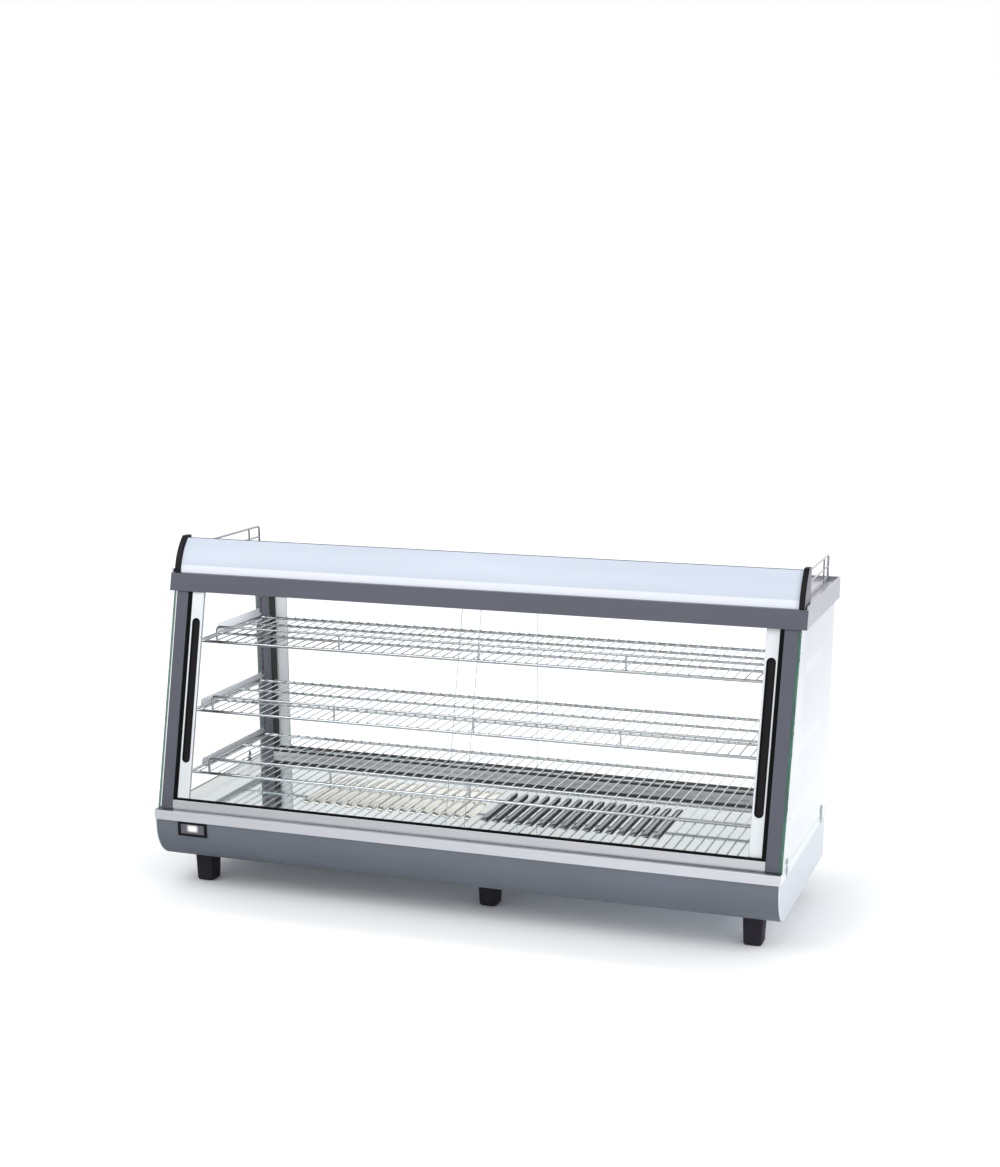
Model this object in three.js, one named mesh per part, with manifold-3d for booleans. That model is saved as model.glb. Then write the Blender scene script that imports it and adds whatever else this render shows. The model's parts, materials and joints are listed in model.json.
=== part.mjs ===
// Heated display case for a shop counter: curved base with a louvred hot deck, three wire shelves,
// two leaning sliding doors in front, two upright sliding doors behind, and a lit sign box on top.
// X runs along the case, Y from the customers' side to the staff's side, Z up, in millimetres.
import * as THREE from 'three';
import { mergeVertices } from 'three/addons/utils/BufferGeometryUtils.js';
import Module from 'manifold-3d';

const wasm = await Module();
wasm.setup();

// Whole case
const caseWidth = 1200;
const caseDepth = 450;
const baseClearance = 60; // counter to the underside of the base
const trayTop = 160; // counter to the top of the tray
const windowHeight = 403; // tray top to the lower edge of the cap
const capHeight = 33; // fascia, and cap top above its lower edge
const capOverhang = 8; // cap past the base on each side
const frontLean = 13.7; // degrees that the front leans back
const glassInset = 14; // tray front to the foot of the leaning glass
const seat = 0.3; // gap between pieces that rest on each other
const play = 2 * seat; // gap on both sides of a piece in its hole
const overrun = 6; // how far a cut passes the face that it opens

// Base
const sheet = 1.2; // folded stainless sheet
const rimHeight = 18.5;
const panelCurveDepth = 60;
const panelCurveHeight = 67;
const panelFlange = 10;
const sidePlateSheet = 2;
const rearWallRecess = 26; // keeps the controls inside the case's depth
const panFlange = 20;
const arcSteps = 8;

// Feet
const footTopWidth = 38;
const footTopDepth = 41;
const footTaper = 2; // each side, from the top to the sole
const footCorner = 5;
const footEdge = 4; // rounded edge of the sole
const footEndInset = 60; // case end to the foot's middle
const frontFootInset = 94;
const rearFootInset = 65;
const middleFootX = 30;
const middleFootInset = 135;

// Deck and louvres
const deckEndInset = 55; // case end to the deck plate
const deckMargin = 18; // deck plate on the tray, all round
const deckTrackGap = 6;
const louvreCount = 16; // in each of two groups
const louvrePitch = 22;
const louvreMiddleGap = 30; // between the inner louvres of the two groups
const louvreLength = 186;
const louvreWidth = 13;
const louvreHeight = 5;
const louvreEnd = 7;
const louvreSheet = 1;
const louvreStand = 0.3; // lower lip of a louvre's mouth above the deck
const louvreShoulderShare = 0.33; // of its half width, where the hood's back starts to fall
const louvreBackShare = 0.8; // of its height, at the back's crease
const louvreTipShare = 0.3; // of its height, at its ends
const louvreMiddle = 2; // louvres' middle behind the case's middle

// Heating element
const heaterDiameter = 8.5;
const heaterEndInset = 150; // case end to the element's bends
const heaterPitch = 80;
const heaterRuns = 4;
const heaterBendSteps = 6;
const heaterDrop = 32; // tray top to the element's middle
const heaterRibSheet = 2;
const heaterRibPitch = 380;
const heaterRibCount = 3;
const heaterRibMargin = 26; // rib past the outer rows

// Posts
const postWall = 1.5;
const frontPostWidth = 24;
const frontPostDepth = 22;
const rearPostWidth = 33.7;
const rearPostDepth = 7;
const rearPostInset = 2; // case rear to the post
const slotWidth = 4;
const slotHeight = 9;
const slotPitch = 13.1;
const slotFromEdge = 9; // post's outer edge to the slots' middle
const slotTopInset = 15; // window's top to the highest slot, at least
const firstSlot = 24; // tray top to the lowest slot's lower end

// Glass
const sideGlassThickness = 6;
const sideGlassRear = 3; // case rear to the glass's edge
const paneThickness = 4;
const glassTuck = 27; // glass above the lower edge of the cap

// Door tracks: depth is measured square to the doors, from their outer plane
const trackDepth = 20.4;
const trackOuterHeight = 17;
const trackInnerHeight = 11;
const shadowDepth = 2.5;
const shadowHeight = 2.7;
const sealHeight = 22;
const sealInnerHeight = 15;
const grooveFloor = 7;
const outerPaneDepth = 3.5;
const innerPaneDepth = 11.5;
const frontSealWidth = 7.4;
const rearSealWidth = 8;
const rearTrackInset = 2; // case rear to the rear doors' outer plane
const headerLift = 1.3; // header above the lower edge of the cap
const paneTuck = 15; // panes above the lower edge of the cap
const paneLift = 6; // room above the panes, to lift them out

// Doors
const doorOverlap = 40;
const stileWidth = 24.5;
const stileThickness = 7.6;
const stileChamfer = 1;
const paneBite = 4; // pane inside the stile
const doorPlay = 0.5; // stile to the track and the header
const handleWidth = 16;
const handleBottom = 90; // above the tray, up the door
const handleTopInset = 38; // window's top to the handle, up the door
const handleDepth = 5.4;
const handleWall = 1.6;
const handleArcSteps = 8;

// Cap
const coverSheet = 1.5;
const fasciaThickness = 2.7;
const fasciaStandoff = 3; // fascia's face in front of the glass
const lipHeight = 7;
const lipThickness = 3;

// Sign box
const signRise = 66;
const signCurveRadius = 110;
const signCurveStart = 8.6; // degrees of lean at the foot
const signCurveEnd = 48.6; // degrees of lean at the top
const signTopDepth = 18;
const signEndInset = 6.4; // cap end to the sign box
const endCapThickness = 10.6;
const signRecess = 4.5;
const signPanelThickness = 3;
const signStandoff = 1.5; // foot behind the fascia's face
const signBackSheet = 1.2;
const lampDiameter = 16;
const lampHolderWidth = 12;
const lampHolderInset = 81; // end of the sign box to the outer holder
const lampRise = 28;

// Gallery rails beside the cap's top
const railWire = 4;
const thinRailWire = 3.2;
const railInset = 15; // case end to the rail
const railRiseShares = [1, 0.55, 0.13];
const railHeight = 47;
const railRearInset = 3;
const railPostGap = 45;
const railBend = 8;
const bendSteps = 3;
const railFlat = 3; // base bar's height

// Shelves
const shelfEndGap = 7.7; // middle of the slots to the frame's side wires
const guardEndInset = 40; // frame's side wires to the guard
const frameWire = 5.8;
const crossWire = 5;
const gridWire = 2.6;
const underWireGap = 0.1; // grid to the wires that pass below it
const gridSpaces = 57;
const guardWire = 4.6;
const guardUprightWire = 3.7;
const guardRise = 27;
const guardUprightPitch = 280;
const guardBend = 8;
const shelfSlots = [2, 11, 21]; // slot that each shelf's lower hook uses
const shelfAboveSlot = 2.8;
const shelfFronts = [105, 128, 157]; // from the case's front
const shelfMiddleShares = [[0.286, 0.683], [0.332, 0.686], [0.308, 0.722]]; // of the depth of the frame
const shelfRearGaps = [30, 45, 30]; // from the case's rear

// Brackets
const bracketSheet = 2;
const bracketFronts = [165, 170, 255]; // from the case's front
const bracketTops = [7, 8, 13]; // top edge above the shelf's grid
const bracketFlange = 13; // inward, under the shelf
const bracketCorner = 4; // cut corner of the front tip
const bracketRearGap = 9; // arm's rear end to the post
const bracketLugWidth = 16;
const bracketLugDrop = 17; // below the shelf's grid
const hookNeck = 4;
const hookLip = 3.6;
const hookThickness = 1.6;

// Glass clips
const clipLength = 34;
const clipWidth = 16;
const clipWaist = 5;
const clipThickness = 2.4;
const clipDrop = 19; // tray top to the clip's lower end
const clipScrew = 5;
const clipScrewHead = 0.6; // screw's head past the clip
const clipScrewRise = 6; // clip's lower end to the screw's middle
const frontClipInset = 57;
const rearClipInset = 52;

// Thermometer
const bezelWidth = 61.5;
const bezelHeight = 27.5;
const bezelFlange = 1;
const bezelBodyWidth = 56;
const bezelBodyHeight = 23;
const bezelBodyDepth = 18;
const bezelInset = 48.5; // case end to the bezel
const displayWidth = 49;
const displayHeight = 18.5;
const displayThickness = 1;
const displaySink = 0.4;

// Controls on the staff's side
const controlDrop = 62; // tray top to the controls' middle
const knobX = -300;
const knobDiameter = 38;
const knobHeight = 17;
const knobGripWidth = 9;
const knobGripLength = 33.4;
const knobBaseHeight = 6;
const shaftDiameter = 7;
const shaftLength = 9;
const rockerX = -370;
const rockerWidth = 20;
const rockerHeight = 27;
const rockerTilt = 9; // degrees to each side of square
const rockerDepth = 7;
const switchWidth = 27;
const switchHeight = 34;
const switchFlange = 2;
const switchBody = 12;
const glandInset = 130; // case end to the cable gland's middle
const glandDiameter = 24;
const glandBore = 9;
const glandHeight = 14;
const glandWall = 2.4;
const glandFlange = 2.4;
const glandInside = 3.6; // behind the wall
const glandShoulder = 8.4; // wall to the taper's end
const glandStep = 1.2;

// Facets
const weldDistance = 0.0001;
const wireFacets = 6;
const gridFacets = 4;
const screwFacets = 10;
const barFacets = 12;
const glandFacets = 16;
const knobFacets = 24;

// Derived places
const front = -caseDepth / 2;
const rear = caseDepth / 2;
const halfWidth = caseWidth / 2;
const lean = THREE.MathUtils.degToRad(frontLean);
const glassFoot = front + glassInset;
const capBottom = trayTop + windowHeight;
const capTop = capBottom + capHeight;
const capHalfWidth = halfWidth + capOverhang;
const signHalfWidth = capHalfWidth - signEndInset;
const deckHalfWidth = halfWidth - deckEndInset;
const heaterHalfLength = halfWidth - heaterEndInset;
const trayUnder = trayTop - sheet;
const panelFace = front + sheet + seat;
const rearFace = rear - sheet - seat;
const curveMiddleY = panelFace + panelCurveDepth;
const curveMiddleZ = baseClearance + panelCurveHeight;
const sideOuter = halfWidth - sheet - seat;
const sideInner = sideOuter - sidePlateSheet;
const panelTop = trayUnder - seat;
const panBottom = baseClearance + sheet + seat;
const rearWallFace = rearFace - rearWallRecess;
const headerBottom = capBottom + headerLift;
const postBottom = trayTop + seat;
const postTop = headerBottom - seat;
const glassOuter = halfWidth;
const glassInner = glassOuter - sideGlassThickness;
const postOuter = glassInner - seat;
const frontPostInner = postOuter - frontPostWidth;
const rearPostInner = postOuter - rearPostWidth;
const rearPostRear = rear - rearPostInset;
const rearPostFront = rearPostRear - rearPostDepth;
const slotX = postOuter - slotFromEdge;
const slotRise = windowHeight - firstSlot - slotHeight - slotTopInset; // lowest slot to the highest
const slotCount = Math.floor(slotRise / slotPitch) + 1;
const handleLength = windowHeight - handleBottom - handleTopInset;
const shelfHalfWidth = slotX - shelfEndGap;
const guardHalfWidth = shelfHalfWidth - guardEndInset;
const rearTrackFace = rear - rearTrackInset;
const deckBottom = trayTop + seat;
const deckTop = deckBottom + sheet;
const coverTop = capTop;
const coverUnder = coverTop - coverSheet;
const ceilingTop = coverUnder - seat;
const controlZ = trayTop - controlDrop;
const glandX = halfWidth - glandInset;

// Depth into the case, square to the leaning front, and height above the counter, to Y
function leanY(depth, z) {
  return glassFoot + depth / Math.cos(lean) + (z - trayTop) * Math.tan(lean);
}

// Depth and rise in the leaning doors' own frame, to Y and Z
function leanPoint(depth, rise) {
  const y = glassFoot + depth * Math.cos(lean) + rise * Math.sin(lean);
  const z = trayTop - depth * Math.sin(lean) + rise * Math.cos(lean);
  return [y, z];
}

const deckFront = leanY(trackDepth, trayTop) + deckTrackGap;
const deckRear = rearTrackFace - trackDepth - deckTrackGap;

// Closed geometry to solid, and back

function solid(piece) {
  if (!piece.isBufferGeometry) return piece;
  const bare = piece.clone();
  bare.deleteAttribute('normal');
  bare.deleteAttribute('uv');
  const welded = mergeVertices(bare, weldDistance);
  const mesh = new wasm.Mesh({
    numProp: 3,
    vertProperties: new Float32Array(welded.attributes.position.array),
    triVerts: new Uint32Array(welded.index.array),
  });
  return new wasm.Manifold(mesh);
}

function join(...pieces) {
  return pieces.map(solid).reduce((sum, piece) => sum.add(piece));
}

function cut(body, ...tools) {
  return tools.map(solid).reduce((rest, tool) => rest.subtract(tool), solid(body));
}

function geometryOf(piece) {
  const { vertProperties, triVerts } = solid(piece).getMesh();
  const geometry = new THREE.BufferGeometry();
  geometry.setAttribute('position', new THREE.BufferAttribute(new Float32Array(vertProperties), 3));
  geometry.setIndex(new THREE.BufferAttribute(new Uint32Array(triVerts), 1));
  return geometry;
}

// Basic forms

function block(x0, x1, y0, y1, z0, z1) {
  const box = new THREE.BoxGeometry(Math.abs(x1 - x0), y1 - y0, z1 - z0);
  return box.translate((x0 + x1) / 2, (y0 + y1) / 2, (z0 + z1) / 2);
}

function outlineShape(outline) {
  if (outline instanceof THREE.Shape) return outline;
  return new THREE.Shape(outline.map(([u, v]) => new THREE.Vector2(u, v)));
}

function extrude(outline, length) {
  return new THREE.ExtrudeGeometry(outlineShape(outline), { depth: length, bevelEnabled: false });
}

// Outline of [y, z] points, extruded from one X to another
function alongX(outline, xa, xb) {
  const geometry = extrude(outline, Math.abs(xb - xa));
  const axes = new THREE.Matrix4().makeBasis(
    new THREE.Vector3(0, 1, 0), new THREE.Vector3(0, 0, 1), new THREE.Vector3(1, 0, 0));
  return geometry.applyMatrix4(axes).translate(Math.min(xa, xb), 0, 0);
}

// Outline of [x, z] points, extruded from one Y to another
function alongY(outline, ya, yb) {
  const geometry = extrude(outline, yb - ya);
  const axes = new THREE.Matrix4().makeBasis(
    new THREE.Vector3(1, 0, 0), new THREE.Vector3(0, 0, 1), new THREE.Vector3(0, -1, 0));
  return geometry.applyMatrix4(axes).translate(0, yb, 0);
}

// Outline of [x, y] points, extruded from one Z to another
function alongZ(outline, za, zb) {
  return extrude(outline, zb - za).translate(0, 0, za);
}

function arc(middleU, middleV, radiusU, radiusV, startDegrees, endDegrees, steps) {
  const points = [];
  for (let step = 0; step <= steps; step += 1) {
    const angle = THREE.MathUtils.degToRad(startDegrees + (endDegrees - startDegrees) * step / steps);
    points.push([middleU + radiusU * Math.cos(angle), middleV + radiusV * Math.sin(angle)]);
  }
  return points;
}

// Closed skin over rings of equal count, each a list of Vector3
function loft(rings) {
  const count = rings[0].length;
  const positions = rings.flat().flatMap((point) => [point.x, point.y, point.z]);
  const faces = [];
  for (let ring = 0; ring + 1 < rings.length; ring += 1) {
    for (let side = 0; side < count; side += 1) {
      const next = (side + 1) % count;
      const a = ring * count + side;
      const b = ring * count + next;
      faces.push(a, b, b + count, a, b + count, a + count);
    }
  }
  const last = (rings.length - 1) * count;
  for (let side = 1; side + 1 < count; side += 1) {
    faces.push(0, side + 1, side);
    faces.push(last, last + side, last + side + 1);
  }
  const geometry = new THREE.BufferGeometry();
  geometry.setAttribute('position', new THREE.BufferAttribute(new Float32Array(positions), 3));
  geometry.setIndex(faces);
  return geometry;
}

// Rod through points that lie in one plane, with mitred bends
function rod(points, diameter, sides, planeNormal) {
  const rings = points.map((point, index) => {
    const before = points[Math.max(index - 1, 0)];
    const after = points[Math.min(index + 1, points.length - 1)];
    const arriving = new THREE.Vector3().subVectors(point, before).normalize();
    const leaving = new THREE.Vector3().subVectors(after, point).normalize();
    if (index === 0) arriving.copy(leaving);
    if (index === points.length - 1) leaving.copy(arriving);
    const along = new THREE.Vector3().addVectors(arriving, leaving).normalize();
    const stretch = 1 / along.dot(arriving);
    const across = new THREE.Vector3().crossVectors(planeNormal, along).multiplyScalar(stretch);
    return Array.from({ length: sides }, (_, side) => {
      const angle = 2 * Math.PI * (side + 0.5) / sides;
      return point.clone()
        .addScaledVector(across, diameter / 2 * Math.cos(angle))
        .addScaledVector(planeNormal, diameter / 2 * Math.sin(angle));
    });
  });
  return loft(rings);
}

const xAxis = new THREE.Vector3(1, 0, 0);
const yAxis = new THREE.Vector3(0, 1, 0);
const zAxis = new THREE.Vector3(0, 0, 1);

// Bar along X, centred on the case's middle
function wireX(y, z, halfLength, diameter, facets) {
  const ends = [new THREE.Vector3(-halfLength, y, z), new THREE.Vector3(halfLength, y, z)];
  return rod(ends, diameter, facets, zAxis);
}

function wireY(x, z, y0, y1, diameter, facets) {
  return rod([new THREE.Vector3(x, y0, z), new THREE.Vector3(x, y1, z)], diameter, facets, zAxis);
}

// Finishes: colour, roughness, metalness
const finishes = {
  brushedSteel: ['#d0d0d6', 0.32, 0.9],
  baseSteel: ['#dce2ea', 0.35, 0.8],
  greyPaint: ['#6b6d78', 0.5, 0.1],
  basePaint: ['#6c747d', 0.5, 0.1],
  chrome: ['#9aa3a8', 0.15, 1],
  darkSteel: ['#55595e', 0.4, 0.8],
  aluminium: ['#e6e4f0', 0.35, 0.6],
  blackPlastic: ['#2e2c33', 0.5, 0],
  blackRubber: ['#2b2830', 0.8, 0],
  clearGlass: ['#d4e8e2', 0.05, 0],
  signAcrylic: ['#dfe5f2', 0.3, 0],
  lampGlass: ['#f4f6fd', 0.3, 0],
  displayGlass: ['#40444c', 0.1, 0],
};

function finish(name) {
  const [color, roughness, metalness] = finishes[name];
  const material = new THREE.MeshStandardMaterial({ color, roughness, metalness });
  if (name === 'clearGlass') {
    material.transparent = true;
    material.opacity = 0.35;
  }
  return material;
}

function addPiece(parent, name, body, finishName) {
  const mesh = new THREE.Mesh(geometryOf(body), finish(finishName));
  mesh.name = name;
  parent.add(mesh);
  return mesh;
}

const sides = [['left', -1], ['right', 1]];

// Base

// Curved front of the base, seen from the side, from its upper end down, inset into the sheet
function frontCurve(inset) {
  const depth = panelCurveDepth - inset;
  const height = panelCurveHeight - inset;
  return arc(curveMiddleY, curveMiddleZ, depth, height, 180, 270, arcSteps);
}

function frontPanel() {
  const outer = [[panelFace, panelTop], ...frontCurve(0), [curveMiddleY + panelFlange, baseClearance]];
  const inner = [[panelFace + sheet, panelTop], ...frontCurve(sheet),
    [curveMiddleY + panelFlange, baseClearance + sheet]];
  const halfLength = sideInner - seat;
  const panel = alongX([...outer, ...inner.reverse()], -halfLength, halfLength);
  const bezelX = bezelInset + bezelWidth / 2 - halfWidth;
  const half = bezelBodyWidth / 2 + seat;
  const halfHeight = bezelBodyHeight / 2 + seat;
  const opening = block(bezelX - half, bezelX + half, front - overrun, curveMiddleY,
    bezelMiddleZ() - halfHeight, bezelMiddleZ() + halfHeight);
  return cut(panel, opening);
}

function bezelMiddleZ() {
  return trayTop - rimHeight - seat - bezelHeight / 2;
}

function sidePlate(side) {
  const outline = [[panelFace, panelTop], ...frontCurve(0), [rearFace, baseClearance], [rearFace, panelTop]];
  return alongX(outline, side * sideInner, side * sideOuter);
}

function heaterRib(x) {
  const top = trayTop - heaterDrop + heaterDiameter / 2;
  const reach = heaterPitch * (heaterRuns - 1) / 2 + heaterRibMargin;
  const rib = block(x - heaterRibSheet / 2, x + heaterRibSheet / 2, -reach, reach,
    panBottom + sheet / 2, top);
  const notches = heaterRows().map((y) => {
    const half = heaterDiameter / 2 + seat;
    return block(x - overrun, x + overrun, y - half, y + half, top - heaterDiameter - seat, top + overrun);
  });
  return cut(rib, ...notches);
}

function heaterRows() {
  return Array.from({ length: heaterRuns }, (_, row) => heaterPitch * (row - (heaterRuns - 1) / 2));
}

// Folded pan with a tall rear wall, and notched ribs that carry the heating element
function chassis() {
  const halfLength = sideInner - seat;
  const low = panBottom;
  const flangeTop = panBottom + panFlange;
  const fold = [[curveMiddleY, low], [rearWallFace, low], [rearWallFace, panelTop],
    [rearWallFace - sheet, panelTop], [rearWallFace - sheet, low + sheet],
    [curveMiddleY + sheet, low + sheet], [curveMiddleY + sheet, flangeTop], [curveMiddleY, flangeTop]];
  const ends = sides.map(([, side]) => block(side * halfLength, side * (halfLength - sheet),
    curveMiddleY, rearWallFace, low, flangeTop));
  const ribs = Array.from({ length: heaterRibCount }, (_, rib) =>
    heaterRib(heaterRibPitch * (rib - (heaterRibCount - 1) / 2)));
  const shell = join(alongX(fold, -halfLength, halfLength), ...ends, ...ribs);
  const wallFrom = rearWallFace - sheet - overrun;
  const wallTo = rearWallFace + overrun;
  const shaftHole = roundBar(knobX, controlZ, shaftDiameter + play, wallFrom, wallTo, barFacets);
  const glandHole = roundBar(glandX, controlZ, glandBore + 2 * glandWall + play, wallFrom, wallTo,
    glandFacets);
  const switchHalf = switchWidth / 2 - switchFlange + seat;
  const switchHalfHeight = switchHeight / 2 - switchFlange + seat;
  const switchHole = block(rockerX - switchHalf, rockerX + switchHalf, wallFrom, wallTo,
    controlZ - switchHalfHeight, controlZ + switchHalfHeight);
  return cut(shell, shaftHole, glandHole, switchHole);
}

// Round bar along Y
function roundBar(x, z, diameter, ya, yb, facets) {
  const bar = new THREE.CylinderGeometry(diameter / 2, diameter / 2, yb - ya, facets);
  return bar.translate(x, (ya + yb) / 2, z);
}

function heatingElement() {
  const rows = heaterRows();
  const z = trayTop - heaterDrop;
  const radius = heaterPitch / 2;
  const straight = heaterHalfLength - radius;
  const path = [new THREE.Vector3(-heaterHalfLength, rows[0], z)];
  rows.forEach((y, row) => {
    const end = row % 2 === 0 ? 1 : -1;
    if (row + 1 === rows.length) {
      path.push(new THREE.Vector3(end * heaterHalfLength, y, z));
      return;
    }
    arc(end * straight, y + radius, radius, radius, end > 0 ? -90 : 270, 90, heaterBendSteps)
      .forEach(([x, bendY]) => path.push(new THREE.Vector3(x, bendY, z)));
  });
  return rod(path, heaterDiameter, wireFacets, zAxis);
}

function foot() {
  const top = panBottom - seat;
  const ring = (inset, z) => {
    const u = footTopWidth / 2 - inset;
    const v = footTopDepth / 2 - inset;
    const c = footCorner;
    const corners = [[u - c, -v], [u, c - v], [u, v - c], [u - c, v],
      [c - u, v], [-u, v - c], [-u, c - v], [c - u, -v]];
    return corners.map(([x, y]) => new THREE.Vector3(x, y, z));
  };
  return loft([ring(footTaper + footEdge, 0), ring(footTaper, footEdge), ring(0, top)]);
}

// Clips that hold the side glass's foot: a waisted plate with a screw into the tray's rim
function clipOutline(y) {
  const low = trayTop - clipDrop;
  const high = low + clipLength;
  const middle = (low + high) / 2;
  const half = clipWidth / 2;
  return [[y - half / 2, low], [y + half / 2, low], [y + half, low + half], [y + clipWaist / 2, middle],
    [y + half, high - half], [y + half / 2, high], [y - half / 2, high], [y - half, high - half],
    [y - clipWaist / 2, middle], [y - half, low + half]];
}

function glassClip(side, y) {
  const start = glassOuter + seat;
  const plate = alongX(clipOutline(y), side * start, side * (start + clipThickness));
  const screw = new THREE.CylinderGeometry(clipScrew / 2, clipScrew / 2, clipThickness + seat + sheet,
    screwFacets);
  screw.rotateZ(Math.PI / 2);
  screw.translate(side * (start + clipScrewHead + clipThickness / 2 - seat / 2 - sheet / 2), y,
    trayTop - clipDrop + clipScrewRise);
  return join(plate, screw);
}

function tray() {
  const rimBottom = trayTop - rimHeight;
  const body = block(-halfWidth, halfWidth, front, rear, rimBottom, trayTop);
  const inside = block(sheet - halfWidth, halfWidth - sheet, front + sheet, rear - sheet,
    rimBottom - overrun, trayUnder);
  const opening = block(deckMargin - deckHalfWidth, deckHalfWidth - deckMargin, deckFront + deckMargin,
    deckRear - deckMargin, trayUnder - overrun, trayTop + overrun);
  const clips = sides.flatMap(([, side]) =>
    [front + frontClipInset, rear - rearClipInset].map((y) => glassClip(side, y)));
  return join(cut(body, inside, opening), ...clips);
}

// Louvre seen from its end, opening towards the facing side
function louvreSection(facing, wall, root) {
  const half = louvreWidth / 2;
  const crown = louvreHeight - wall;
  const outline = [[half, root], [half, crown], [-half * louvreShoulderShare, crown * louvreBackShare],
    [wall - half, 0], [wall - half, root]];
  return outline.map(([x, z]) => [facing * x, z]);
}

function louvreSkin(facing, wall, root, x) {
  const section = louvreSection(facing, wall, root);
  const half = louvreLength / 2 - wall;
  const ring = (y, share) => section.map(([u, z]) =>
    new THREE.Vector3(x + u, louvreMiddle + y, deckTop + (z > 0 ? z * share : z)));
  const rings = [ring(-half, louvreTipShare), ring(louvreEnd - half, 1), ring(half - louvreEnd, 1),
    ring(half, louvreTipShare)];
  return loft(facing < 0 ? rings : rings.reverse());
}

function louvreMouth(facing, x) {
  const inner = x;
  const outer = x + facing * (louvreWidth / 2 + overrun / 2);
  const half = louvreLength / 2 - louvreEnd;
  const low = deckTop + louvreStand;
  return block(Math.min(inner, outer), Math.max(inner, outer), louvreMiddle - half, louvreMiddle + half,
    low, deckTop + louvreHeight - louvreSheet);
}

// Hot deck: a plate with two groups of louvres pressed up from it, the groups facing apart
function deckPlate() {
  const plate = block(-deckHalfWidth, deckHalfWidth, deckFront, deckRear, deckBottom, deckTop);
  const places = sides.flatMap(([, side]) => Array.from({ length: louvreCount }, (_, index) =>
    [side, side * (louvreMiddleGap / 2 + louvrePitch * index)]));
  const hoods = places.map(([side, x]) => louvreSkin(side, 0, -sheet / 2, x));
  const hollows = places.map(([side, x]) => louvreSkin(side, louvreSheet, -sheet - overrun, x));
  const mouths = places.map(([side, x]) => louvreMouth(side, x));
  return cut(join(plate, ...hoods), ...hollows, ...mouths);
}

function buildBase() {
  const base = new THREE.Group();
  addPiece(base, 'base_chassis', chassis(), 'baseSteel');
  addPiece(base, 'base_front_panel', frontPanel(), 'basePaint');
  for (const [name, side] of sides) {
    addPiece(base, `base_side_plate_${name}`, sidePlate(side), 'baseSteel');
  }
  addPiece(base, 'top_tray', tray(), 'brushedSteel');
  addPiece(base, 'deck_plate', deckPlate(), 'brushedSteel');
  addPiece(base, 'heating_element', heatingElement(), 'darkSteel');
  const footX = halfWidth - footEndInset;
  const places = {
    front_left: [-footX, front + frontFootInset],
    front_right: [footX, front + frontFootInset],
    rear_left: [-footX, rear - rearFootInset],
    rear_right: [footX, rear - rearFootInset],
    middle: [middleFootX, front + middleFootInset],
  };
  for (const [name, [x, y]] of Object.entries(places)) {
    addPiece(base, `foot_${name}`, foot(), 'blackRubber').position.set(x, y, 0);
  }
  return base;
}

// Posts and side glass

// Bar that leans with the front but has level ends
function leaningBar(depth0, depth1, z0, z1) {
  return [[leanY(depth0, z0), z0], [leanY(depth1, z0), z0], [leanY(depth1, z1), z1], [leanY(depth0, z1), z1]];
}

function frontPost(side) {
  const skin = alongX(leaningBar(0, frontPostDepth, postBottom, postTop),
    side * frontPostInner, side * postOuter);
  const hollow = leaningBar(postWall, frontPostDepth - postWall, postBottom - overrun, postTop + overrun);
  const bore = alongX(hollow, side * (frontPostInner + postWall), side * (postOuter - postWall));
  return cut(skin, bore);
}

function slotBottom(index) {
  return trayTop + firstSlot + slotPitch * index;
}

function rearPost(side) {
  const x0 = Math.min(side * rearPostInner, side * postOuter);
  const x1 = Math.max(side * rearPostInner, side * postOuter);
  const skin = block(x0, x1, rearPostFront, rearPostRear, postBottom, postTop);
  const bore = block(x0 + postWall, x1 - postWall, rearPostFront + postWall, rearPostRear - postWall,
    postBottom - overrun, postTop + overrun);
  const slots = Array.from({ length: slotCount }, (_, index) => block(
    side * slotX - slotWidth / 2, side * slotX + slotWidth / 2,
    rearPostFront - overrun, rearPostRear - postWall,
    slotBottom(index), slotBottom(index) + slotHeight));
  return cut(skin, bore, ...slots);
}

function sideGlass(side) {
  const top = capBottom + glassTuck;
  const edge = rear - sideGlassRear;
  const outline = [[leanY(0, postBottom), postBottom], [edge, postBottom], [edge, top], [leanY(0, top), top]];
  return alongX(outline, side * glassInner, side * glassOuter);
}

function buildFrame() {
  const frame = new THREE.Group();
  for (const [name, side] of sides) {
    addPiece(frame, `front_post_${name}`, frontPost(side), 'greyPaint');
    addPiece(frame, `rear_post_${name}`, rearPost(side), 'greyPaint');
    addPiece(frame, `side_glass_${name}`, sideGlass(side), 'clearGlass');
  }
  return frame;
}

// Door tracks and seals, as [depth, height] outlines that a place function turns into [y, z]

const frontPlace = (depth, height) => [leanY(depth, trayTop + height), trayTop + height];
const rearPlace = (depth, height) => [rearTrackFace - depth, trayTop + height];
const rearPoint = (depth, rise) => [rearTrackFace - depth, trayTop + rise];

// Folded channel whose outer wall stands over a shadow line
function track(place, halfLength) {
  const floorTop = seat + sheet;
  const step = shadowDepth + sheet;
  const outline = [[0, seat + shadowHeight], [shadowDepth, seat + shadowHeight], [shadowDepth, seat],
    [trackDepth, seat], [trackDepth, trackInnerHeight], [trackDepth - sheet, trackInnerHeight],
    [trackDepth - sheet, floorTop], [step, floorTop], [step, seat + shadowHeight + sheet],
    [sheet, seat + shadowHeight + sheet], [sheet, trackOuterHeight], [0, trackOuterHeight]];
  return alongX(outline.map(([depth, height]) => place(depth, height)), -halfLength, halfLength);
}

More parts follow.
